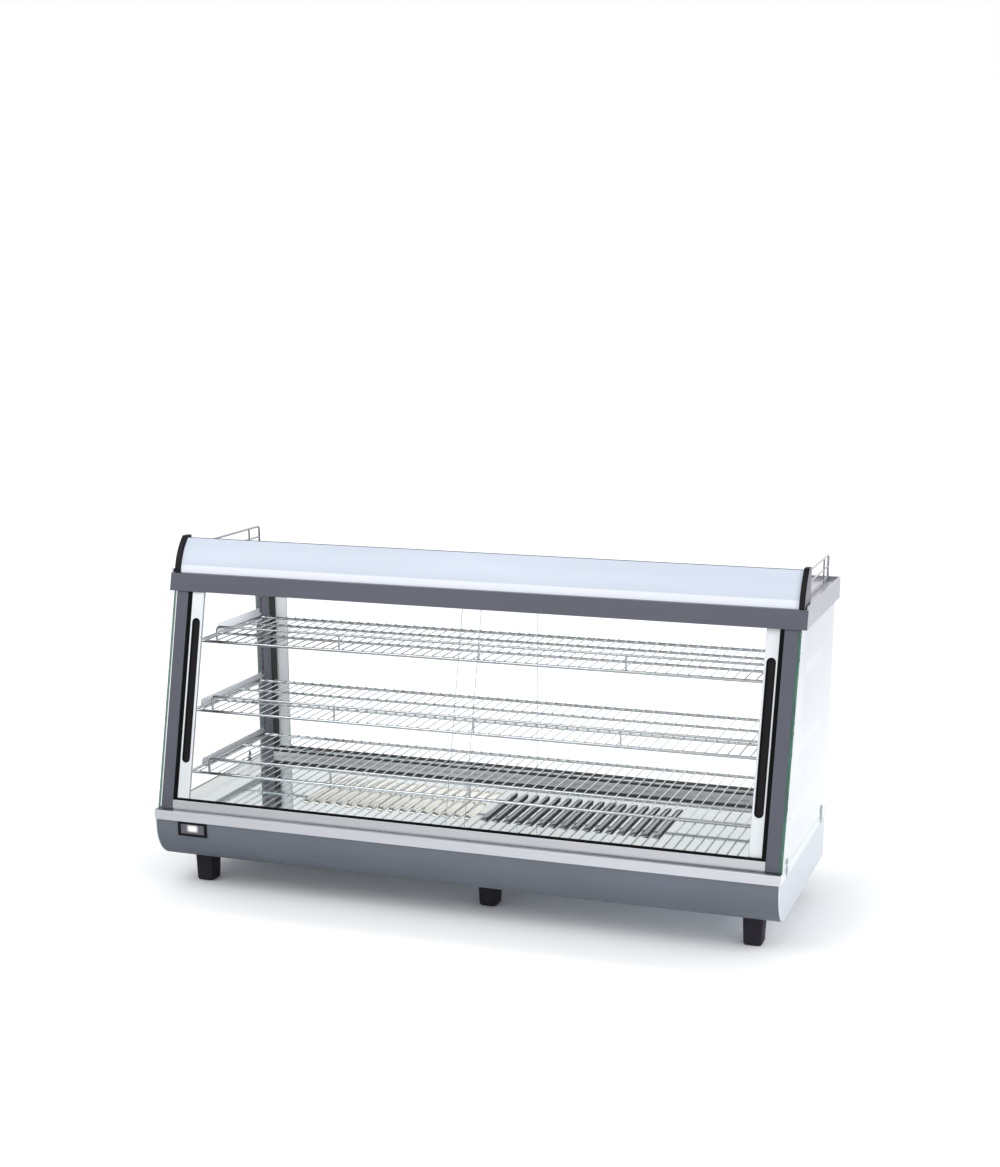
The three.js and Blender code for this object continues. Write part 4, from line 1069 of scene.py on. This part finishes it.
@dataclass
class HotDeck:
    """Stainless plate with two groups of pressed louvres, and the element below it."""

    count: int = 16
    pitch: float = 22 * MM
    middle_gap: float = 30 * MM
    length: float = 186 * MM
    width: float = 13 * MM
    height: float = 5 * MM
    headroom: float = 0.1 * MM
    end: float = 9 * MM
    end_power: float = 0.9
    shoulder_power: float = 0.75
    middle_y: float = 2 * MM
    sheet: float = 1.0 * MM
    top: float = 0.0

    def build(self) -> None:
        """Builds the plate and dresses the element."""
        low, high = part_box("deck_plate")
        self.top = float(high.z) - self.height
        places = [(facing, facing * (self.middle_gap / 2 + self.pitch * index))
                  for facing in SIDES.values() for index in range(self.count)]
        plate = show("deck_plate_skin", self.plate(low, high, places), BRIGHT, "case", False)
        walled(plate, self.sheet)
        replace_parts(plate, "deck_plate")
        for side, facing in SIDES.items():
            group = Skin.together([self.hood(*spot) for spot in places if spot[0] == facing])
            walled(show(f"deck_louvres_{side}", group, HOODS[facing], "case"), self.sheet)
        dress_node("heating_element", TUBE)

    def plate(self, low: Vector, high: Vector, places: list[Pair]) -> Skin:
        """Flat grid whose cells under the louvres are left out.

        Args:
            low: lowest corner of the part's plate.
            high: highest corner of it.
            places: facing and X of each louvre.

        Returns:
            The open skin.
        """
        edges = sorted(x + shift for _, x in places for shift in (-self.width / 2, self.width / 2))
        stops = np.array([low.x, *edges, high.x])
        rows = np.array([low.y, self.middle_y - self.length / 2, self.middle_y + self.length / 2, high.y])
        y, x = np.meshgrid(rows, stops, indexing="ij")
        points = np.stack([x, y, np.full_like(x, self.top)], axis=-1).reshape(-1, 3)
        cells = len(stops) - 1
        faces = [face for number, face in enumerate(quads(len(rows), len(stops), False))
                 if not (number // cells == 1 and number % cells % 2 == 1)]
        return Skin(points, faces)

    def hood(self, facing: float, x: float) -> Skin:
        """Pressed hood, closed on one side and open on the other.

        Its height is the sine of a quarter turn across it, raised to a power for a full shoulder,
        times a smooth rise over each end.

        Args:
            facing: minus one or one, the side that is open.
            x: middle of the hood.

        Returns:
            The open skin.
        """
        across = np.linspace(0.0, 1.0, 9)
        far = self.length - self.end
        along = np.concatenate([np.linspace(0.0, self.end, 7), [self.length / 2],
                                np.linspace(far, self.length, 7)])
        rise = np.minimum(np.minimum(along, self.length - along) / self.end, 1.0)
        rise = np.sin(rise * np.pi / 2) ** self.end_power
        shape = np.sin(across * np.pi / 2) ** self.shoulder_power
        z = self.top + (self.height - self.headroom) * shape[None, :] * rise[:, None]
        xs = np.broadcast_to(x + facing * self.width * (across - 0.5), z.shape)
        ys = np.broadcast_to((along - self.length / 2 + self.middle_y)[:, None], z.shape)
        faces = quads(len(along), len(across), False)
        if facing < 0:
            faces = [face[::-1] for face in faces]
        return Skin(np.stack([xs, ys, z], axis=-1).reshape(-1, 3), faces)


@dataclass
class Shell:
    """Painted posts, side glass, door tracks with their black inserts, and the ceiling."""

    def build(self) -> None:
        """Builds every piece of the shell."""
        for side, sign in SIDES.items():
            eased_copy(f"front_post_{side}", GREY_COAT, "case", 0.8 * MM)
            eased_copy(f"rear_post_{side}", GREY_COAT, "case", 0.3 * MM, 1)
            glass_pane(f"side_glass_{side}", "case", (sign, 0.0, 0.0), SIDE_GLASS, GREEN_EDGE)
        for end, finish in (("front", TRACK), ("rear", REAR_TRACK)):
            eased_copy(f"{end}_track", finish, "case", 0.4 * MM)
            eased_copy(f"{end}_seal", SEAL, "case", 0.3 * MM, 1)
        eased_copy("ceiling", BRUSHED, "case", 0.3 * MM, 1)


@dataclass
class SlidingDoor:
    """Pane with an aluminium stile and a recessed black handle."""

    end: str
    side: str
    handle_width: float = 16 * MM
    handle_length: float = 275 * MM
    handle_bottom: float = 90 * MM
    handle_depth: float = 5.4 * MM
    handle_wall: float = 1.6 * MM
    handle_points: int = 17
    rim: float = 0.7 * MM
    fillet: float = 2 * MM
    slit: float = 0.05 * MM
    pane_depth: Pair = (3.5 * MM, 11.5 * MM)
    stile_lead: float = 1.8 * MM

    def build(self) -> None:
        """Builds the door's three pieces."""
        name = f"{self.end}_door_{self.side}"
        outward = (0.0, -math.cos(LEAN), math.sin(LEAN)) if self.end == "front" else (0.0, 1.0, 0.0)
        glass_pane(f"{name}_glass", name, outward, GLASS, PALE_EDGE)
        eased_copy(f"{name}_stile", ANODISED, name, 0.6 * MM)
        self.handle(name)

    def handle(self, name: str) -> None:
        """Recessed pull: rings of a slot outline with round ends, each a step inwards or down.

        The rings run up the outer wall, over a rounded rim, down the inner wall and across the
        floor. The first ring and the last close to a slit on the slot's middle line.

        Args:
            name: the door's name.
        """
        low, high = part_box(f"{name}_handle")
        radius, soft, count = self.handle_width / 2, self.fillet, self.handle_points
        edge = arc((self.rim, self.rim), (self.rim, self.rim), 180, 270, 4)
        inner = arc((self.handle_wall - self.rim, self.rim), (self.rim, self.rim), 270, 360, 4)
        floor = self.handle_depth - self.handle_wall
        foot = arc((self.handle_wall + soft, floor - soft), (soft, soft), 180, 90, 5)
        back = [[radius - self.slit, self.handle_depth], [0.0, self.handle_depth]]
        steps = np.vstack([back, edge, inner, foot, [[radius - self.slit, floor]]])
        turn = np.radians(np.concatenate([np.linspace(0, 180, count), np.linspace(180, 360, count)]))
        lift = np.concatenate([np.full(count, self.handle_length - radius), np.full(count, radius)])
        reach = (radius - steps[:, 0])[:, None]
        x = reach * np.cos(turn) + (low.x + high.x) / 2
        up = self.handle_bottom + lift[None, :] + reach * np.sin(turn)
        depth = np.broadcast_to(steps[:, 1:], x.shape) + self.surface_depth()
        grid = np.stack([x, *self.standing(depth, up)], axis=-1)
        piece = show(f"{name}_handle_skin", lofted(grid), BLACK, name)
        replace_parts(piece, f"{name}_handle")

    def surface_depth(self) -> float:
        """Depth of the stile's outer face behind the track's outer plane."""
        return self.pane_depth[self.side != "left"] - self.stile_lead

    def standing(self, depth: np.ndarray, up: np.ndarray) -> tuple[np.ndarray, np.ndarray]:
        """Turns depth into the case and rise up the door into Y and Z.

        Args:
            depth: distance inwards, square to the door.
            up: distance up the door from the tray.

        Returns:
            Y and Z.
        """
        plane = DOOR_PLANES[self.end]
        if self.end == "rear":
            return plane - depth, TRAY_TOP + up
        return (plane + depth * math.cos(LEAN) + up * math.sin(LEAN),
                TRAY_TOP - depth * math.sin(LEAN) + up * math.cos(LEAN))


@dataclass
class Cap:
    """Stainless cover with a raised lip, painted fascia and the gallery rails."""

    rail_wire: float = 4 * MM
    thin_wire: float = 3.2 * MM
    rail_height: float = 47 * MM
    bend: float = 8 * MM
    post_gap: float = 45 * MM
    bar_height: float = 3 * MM
    weld: float = 1 * MM
    rises: Pair = (0.55, 0.13)

    def build(self) -> None:
        """Builds the cap."""
        eased_copy("cap_cover", CAP_SHEET, "case", 0.6 * MM, 3)
        eased_copy("cap_fascia", GREY_COAT, "case", 0.6 * MM, 3)
        for side in SIDES:
            self.rail(f"gallery_rail_{side}")

    def rail(self, node: str) -> None:
        """Three wires from the sign box back to two legs that stand on a flat bar.

        Args:
            node: the rail's name.
        """
        low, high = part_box(node)
        x, start, foot = (low.x + high.x) / 2, low.y, low.z
        end = high.y - self.rail_wire / 2
        leg, top, seat = end - self.post_gap, foot + self.rail_height, foot + self.weld
        normal = (1.0, 0.0, 0.0)
        path = rounded_path([(x, start, top), (x, end, top), (x, end, seat)], self.bend, 8)
        skins = [swept(path, circle(self.rail_wire / 2, 12), normal)]
        for level in (foot + self.rail_height * rise for rise in self.rises):
            skins.append(straight_wire((x, start, level), (x, end, level), self.thin_wire, normal))
        skins.append(straight_wire((x, leg, seat), (x, leg, top), self.thin_wire, normal))
        bar_top = foot + self.bar_height
        bar = np.array([[start, foot], [high.y, foot], [high.y, bar_top], [start, bar_top]])
        skins.append(prism(bar, x - self.rail_wire / 2, x + self.rail_wire / 2))
        piece = show(f"{node}_skin", Skin.together(skins), RAIL_CHROME, "case")
        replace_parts(piece, node)


@dataclass
class SignBox:
    """Opal panel bent to a curve, black end caps, folded back and the lamp."""

    radius: float = 110 * MM
    start: float = 8.6
    finish: float = 48.6
    top_depth: float = 18 * MM
    rise: float = 66 * MM
    half_width: float = 601.6 * MM
    cap_thickness: float = 10.6 * MM
    recess: float = 4.5 * MM
    panel: float = 3 * MM
    gap: float = 0.3 * MM
    dark_edge_share: float = 0.45
    foot_y: float = 0.0
    foot_z: float = 0.0

    def build(self) -> None:
        """Builds the sign box."""
        low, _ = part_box("sign_end_cap_left")
        self.foot_y, self.foot_z = float(low.y), float(low.z)
        self.face()
        for side, sign in SIDES.items():
            self.end_cap(side, sign)
        eased_copy("sign_back", GREY_COAT, "case", 0.3 * MM, 1)
        dress_node("sign_lamp", LAMP)

    def curve(self, inset: float) -> np.ndarray:
        """Front of the sign from its foot up: an arc that leans back more and more.

        Args:
            inset: distance behind the end caps' outline.

        Returns:
            Y and Z of its points above the foot.
        """
        start = math.radians(self.start)
        middle = (self.foot_y + self.radius * math.cos(start), self.foot_z - self.radius * math.sin(start))
        radius = self.radius - inset
        points = arc(middle, (radius, radius), 180 - self.start, 180 - self.finish, 24)
        return points[points[:, 1] > self.foot_z - 1e-9]

    def face(self) -> None:
        """Panel between the outer and the inner arc, whose top and upper back are a thin dark grey line."""
        outer, inner = self.curve(self.recess), self.curve(self.recess + self.panel)
        foot = [[outer[0, 0], self.foot_z]], [[inner[0, 0], self.foot_z]]
        tip = outer[-1] + (outer[-2] - outer[-1]) * self.dark_edge_share
        outline = np.vstack([foot[0], outer[:-1], tip, outer[-1:], inner[::-1], foot[1]])
        half = self.half_width - self.cap_thickness - self.gap
        piece = show("sign_panel_skin", prism(outline, -half, half), OPAL, "case")
        high = self.foot_z + self.rise - 2 * self.panel
        paint(piece, [DARK_TOP_EDGE], lambda face: int(face.center.z > tip[1]
                                                   or (face.center.z > high and face.normal.y > 0.1)))
        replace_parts(eased(piece, 0.4 * MM), "sign_panel")

    def end_cap(self, side: str, sign: float) -> None:
        """Moulded end with the sign's outline, and a painted sheet on its outer face.

        Args:
            side: left or right.
            sign: minus one or one.
        """
        outer = self.curve(0.0)
        back = outer[-1, 0] + self.top_depth
        outline = np.vstack([outer, [[back, self.foot_z + self.rise], [back, self.foot_z]]])
        ends = sorted((sign * (self.half_width - self.cap_thickness), sign * self.half_width))
        piece = show(f"sign_end_cap_{side}_skin", prism(outline, *ends), BLACK, "case")
        paint(piece, [END_SHEET], lambda face: int(face.normal.x * sign > FACING))
        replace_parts(eased(piece, 1.2 * MM, 3), f"sign_end_cap_{side}")


@dataclass
class WireShelf:
    """Welded wire shelf with a guard along the front, on two angle brackets."""

    level: str
    middles: Pair
    frame_wire: float = 5.8 * MM
    frame_bend: float = 7 * MM
    cross_wire: float = 5 * MM
    grid_wire: float = 2.6 * MM
    guard_wire: float = 4.6 * MM
    upright_wire: float = 3.7 * MM
    spaces: int = 57
    guard_inset: float = 40 * MM
    guard_rise: float = 27 * MM
    guard_bend: float = 8 * MM
    upright_pitch: float = 280 * MM
    frame_drop: float = 3.0 * MM
    grid_lift: float = 0.7 * MM
    weld: float = 0.3 * MM

    def build(self) -> None:
        """Builds the shelf and its brackets."""
        node = f"shelf_{self.level}"
        low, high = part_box(node)
        radius = self.frame_wire / 2
        half, z = high.x - radius, high.z - self.guard_rise - self.guard_wire / 2
        front, rear = low.y + radius, high.y - radius
        wires = [*self.frame(half, front, rear, z), *self.grid(half, front, rear, z),
                 *self.guard(half, front, z)]
        piece = show(f"{node}_wires", Skin.together(wires), CHROME, "case")
        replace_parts(piece, node)
        for side in SIDES:
            eased_copy(f"bracket_{self.level}_{side}", PLATED, "case", 0.4 * MM)

    def frame(self, half: float, front: float, rear: float, z: float) -> list[Skin]:
        """Outer frame, bent at its corners from one wire, and two wires below the grid.

        Args:
            half: half length to the side wires' middle.
            front: Y of the front wire.
            rear: Y of the rear wire.
            z: height of the wires' middle.

        Returns:
            The wires.
        """
        low = z - self.frame_drop
        corners = [(0.0, front, low), (half, front, low), (half, rear, low), (-half, rear, low),
                   (-half, front, low), (0.0, front, low)]
        ring = swept(rounded_path(corners, self.frame_bend), circle(self.frame_wire / 2, 12), UPRIGHT)
        drop = z + self.grid_lift - self.grid_wire / 2 - self.cross_wire / 2 + self.weld
        return [ring, *(straight_wire((-half, y, drop), (half, y, drop), self.cross_wire, UPRIGHT, 12)
                        for y in (FRONT_FACE + depth for depth in self.middles))]

    def grid(self, half: float, front: float, rear: float, z: float) -> list[Skin]:
        """Thin wires over the front wire and the rear one, at an even pitch.

        Args:
            half: half length to the side wires' middle.
            front: Y of the front wire.
            rear: Y of the rear wire.
            z: height of the frame's wires in the part.

        Returns:
            The wires.
        """
        places = np.linspace(-half, half, self.spaces + 1)[1:-1]
        level, past = z + self.grid_lift, self.frame_wire / 3
        return [straight_wire((x, front - past, level), (x, rear + past, level), self.grid_wire, UPRIGHT, 8)
                for x in places]

    def guard(self, half: float, front: float, z: float) -> list[Skin]:
        """Hoop over the front wire, and three uprights below it.

        Args:
            half: half length to the side wires' middle.
            front: Y of the front wire.
            z: height of the frame's wires in the part.

        Returns:
            The wires.
        """
        edge, low, top = half - self.guard_inset, z - self.frame_drop, z + self.guard_rise
        corners = [(-edge, front, low), (-edge, front, top), (edge, front, top), (edge, front, low)]
        across = (0.0, 1.0, 0.0)
        hoop = swept(rounded_path(corners, self.guard_bend), circle(self.guard_wire / 2, 12), across)
        return [hoop, *(straight_wire((x, front, z), (x, front, top), self.upright_wire, across)
                        for x in (-self.upright_pitch, 0.0, self.upright_pitch))]


@dataclass
class Controls:
    """Thermometer in front; knob, rocker and cable gland behind."""

    def build(self) -> None:
        """Dresses the controls."""
        eased_copy("thermometer_bezel", BLACK, "case", 0.7 * MM, 3)
        dress_node("thermometer_display", WINDOW)
        eased_copy("thermostat_knob", BLACK, "thermostat_knob", 0.8 * MM, 3)
        eased_copy("switch_housing", BLACK, "case", 0.5 * MM)
        eased_copy("power_rocker", BLACK, "power_rocker", 0.5 * MM)
        eased_copy("cable_gland", BLACK, "case", 0.4 * MM)


@dataclass
class Studio:
    """White sweep, soft light and the camera where the photograph was taken.

    A pair of tones holds the first and the last, and its reach says where they start and end: a
    place in metres for the paper, a share of the direction for the sky.
    """

    camera_place: Point = (1.1292, -3.1541, 1.1554)
    camera_tilt: float = 75.75
    camera_turn: float = 19.35
    lens: float = 56.45
    shift: Pair = (-0.0018, 0.1288)
    sweep: float = 14.0
    # Tones of the paper seen by the camera: lower near the case as painted shade, rising to the higher over
    # the reach below.
    paper: Pair = (1.04, 1.55)
    paper_shade_reach: Pair = (0.45, 1.4)
    shaded_paper: str = "#d8d8da"
    mirrored_paper: Pair = (0.35, 1.22)
    mirrored_reach: Pair = (-0.9, 0.6)
    soft_sky: str = "#f2f4f7"
    soft_strength: float = 0.75
    sky: Pair = (0.86, 1.25)
    sky_reach: Pair = (-0.5, -0.15)
    back_reach: Pair = (-0.2, 0.3)
    front_sky: Pair = (0.68, 1.15)
    upper_sky: float = 0.72
    upper_reach: Pair = (0.2, 0.27)
    dim_share: float = 0.5
    dim_reach: Pair = (0.40, 0.55)
    aim_height: float = 0.35
    case_light: Pair = (1.06, 0.22)
    case_power: float = 4.0
    case_place: Point = (0.0, 0.06, 0.585)

    def build(self) -> None:
        """Builds the stage."""
        self.floor()
        self.world()
        self.lamp("key_light", (-1.6, -2.6, 3.2), 2.4, 55.0, True)
        self.lamp("fill_light", (3.2, -1.2, 2.2), 2.0, 40.0, False)
        self.inner_light()
        self.camera()

    @staticmethod
    def rays(tree: Tree) -> tuple[Socket, Socket]:
        """Tells kinds of ray apart.

        Args:
            tree: node tree.

        Returns:
            One for the camera's rays and those through glass, and one for mirrored rays.
        """
        path = add_node(tree, "LightPath").outputs
        seen = maths(tree, "MAXIMUM", path["Is Camera Ray"], path["Is Transmission Ray"])
        return seen, path["Is Glossy Ray"]

    def floor(self) -> None:
        """Pale floor below the feet: white to the camera away from the case, with painted shade near it, and
        graded where gloss mirrors it.
        """
        reach = self.sweep / 2
        points = [(-reach, -reach, 0.0), (reach, -reach, 0.0), (reach, reach, 0.0), (-reach, reach, 0.0)]
        mesh = bpy.data.meshes.new("floor")
        mesh.from_pydata(points, [], [(0, 1, 2, 3)])
        floor = bpy.data.objects.new("floor", mesh)
        bpy.context.scene.collection.objects.link(floor)
        material = bpy.data.materials.new("floor_paper_white")
        material.use_nodes = True
        tree = material.node_tree
        tree.nodes.clear()
        seen, glossy = self.rays(tree)
        spot = add_node(tree, "TexCoord").outputs["Object"]
        away = add_node(tree, "VectorMath", {0: spot}, operation="LENGTH").outputs["Value"]
        # Painted shade near the case: the paper's tone rises with distance from the middle.
        bright = grade(tree, away, self.paper_shade_reach, self.paper)
        mirrored = grade(tree, coordinate(tree, Axis.X), self.mirrored_reach, self.mirrored_paper)
        tone = blend(tree, seen, blend(tree, glossy, linear(self.shaded_paper), mirrored), bright)
        paper = add_node(tree, "BsdfDiffuse", {"Color": tone})
        add_node(tree, "OutputMaterial", {"Surface": paper.outputs[0]})
        mesh.materials.append(material)

    def world(self) -> None:
        """Even soft light, and white where the camera or glass looks past the floor.

        Gloss sees a room instead: brighter to the right, and dim high up behind the case, which
        gives round wires their dark rims.
        """
        world = bpy.data.worlds.new("studio_world")
        world.use_nodes = True
        tree = world.node_tree
        tree.nodes.clear()
        seen, glossy = self.rays(tree)
        way = add_node(tree, "SeparateXYZ", {0: add_node(tree, "TexCoord").outputs["Generated"]}).outputs
        back = grade(tree, way["Y"], self.back_reach, (0.0, 1.0), SOFT_EDGE)
        high = grade(tree, way["Z"], self.dim_reach, (0.0, self.dim_share), SOFT_EDGE)
        left = maths(tree, "SUBTRACT", 1.0, maths(tree, "MULTIPLY", back, high))
        sky = grade(tree, way["X"], self.sky_reach, self.sky)
        above = grade(tree, way["Z"], self.upper_reach, (0.0, 1.0), SOFT_EDGE)
        front = grade(tree, way["X"], self.sky_reach, self.front_sky)
        front = add_node(tree, "Mix", {"Factor": above, 2: front, 3: self.upper_sky}).outputs[0]
        sky = add_node(tree, "Mix", {"Factor": back, 2: front, 3: sky}).outputs[0]
        sky = maths(tree, "MULTIPLY", left, sky)
        soft = add_node(tree, "Background", {"Color": linear(self.soft_sky), "Strength": self.soft_strength})
        room = add_node(tree, "Background", {"Color": (1, 1, 1, 1), "Strength": sky})
        plain = add_node(tree, "Background", {"Color": (1, 1, 1, 1), "Strength": 1.0})
        unseen = add_node(tree, "MixShader", {0: glossy, 1: soft.outputs[0], 2: room.outputs[0]})
        mixed = add_node(tree, "MixShader", {0: seen, 1: unseen.outputs[0], 2: plain.outputs[0]})
        add_node(tree, "OutputWorld", {"Surface": mixed.outputs[0]})
        bpy.context.scene.world = world

    def lamp(self, name: str, where: Point, size: float, power: float, glints: bool) -> None:
        """Square soft light that faces the case.

        Args:
            name: the lamp's name.
            where: its place.
            size: its side.
            power: its power in watts.
            glints: whether gloss shows it.
        """
        data = bpy.data.lights.new(name, "AREA")
        data.energy = power
        data.size = size
        lamp = bpy.data.objects.new(name, data)
        lamp.visible_glossy = glints
        lamp.location = where
        aim = np.array([0.0, 0.0, self.aim_height]) - np.array(where)
        turn = math.atan2(aim[1], aim[0]) - math.pi / 2
        tilt = math.acos(-aim[2] / float(np.linalg.norm(aim)))
        lamp.rotation_euler = (tilt, 0.0, turn)
        bpy.context.scene.collection.objects.link(lamp)

    def inner_light(self) -> None:
        """Weak flat light right below the ceiling, which lifts the hot deck and the shelves."""
        data = bpy.data.lights.new("inner_light", "AREA")
        data.shape = "RECTANGLE"
        data.size, data.size_y = self.case_light
        data.energy = self.case_power
        lamp = bpy.data.objects.new("inner_light", data)
        lamp.visible_camera = lamp.visible_glossy = False
        lamp.location = self.case_place
        bpy.context.scene.collection.objects.link(lamp)

    def camera(self) -> None:
        """Camera at the photograph's place, with the shift that its crop needs."""
        data = bpy.data.cameras.new("camera")
        data.lens = self.lens
        data.sensor_width = 36.0
        data.shift_x, data.shift_y = self.shift
        data.clip_start, data.clip_end = 0.1, 50.0
        camera = bpy.data.objects.new("camera", data)
        camera.location = self.camera_place
        camera.rotation_euler = (math.radians(self.camera_tilt), 0.0, math.radians(self.camera_turn))
        bpy.context.scene.collection.objects.link(camera)
        bpy.context.scene.camera = camera


def main() -> None:
    """Builds the case piece by piece, then the stage."""
    logging.basicConfig(level=logging.INFO, format="%(message)s")
    FRAME.update(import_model())
    Base().build()
    HotDeck().build()
    Shell().build()
    for end in DOOR_PLANES:
        for side in SIDES:
            SlidingDoor(end, side).build()
    Cap().build()
    SignBox().build()
    for level, middles in SHELF_WIRES.items():
        WireShelf(level, middles).build()
    Controls().build()
    Studio().build()
    bpy.context.scene.view_settings.view_transform = "Standard"


if __name__ == "__main__":
    main()
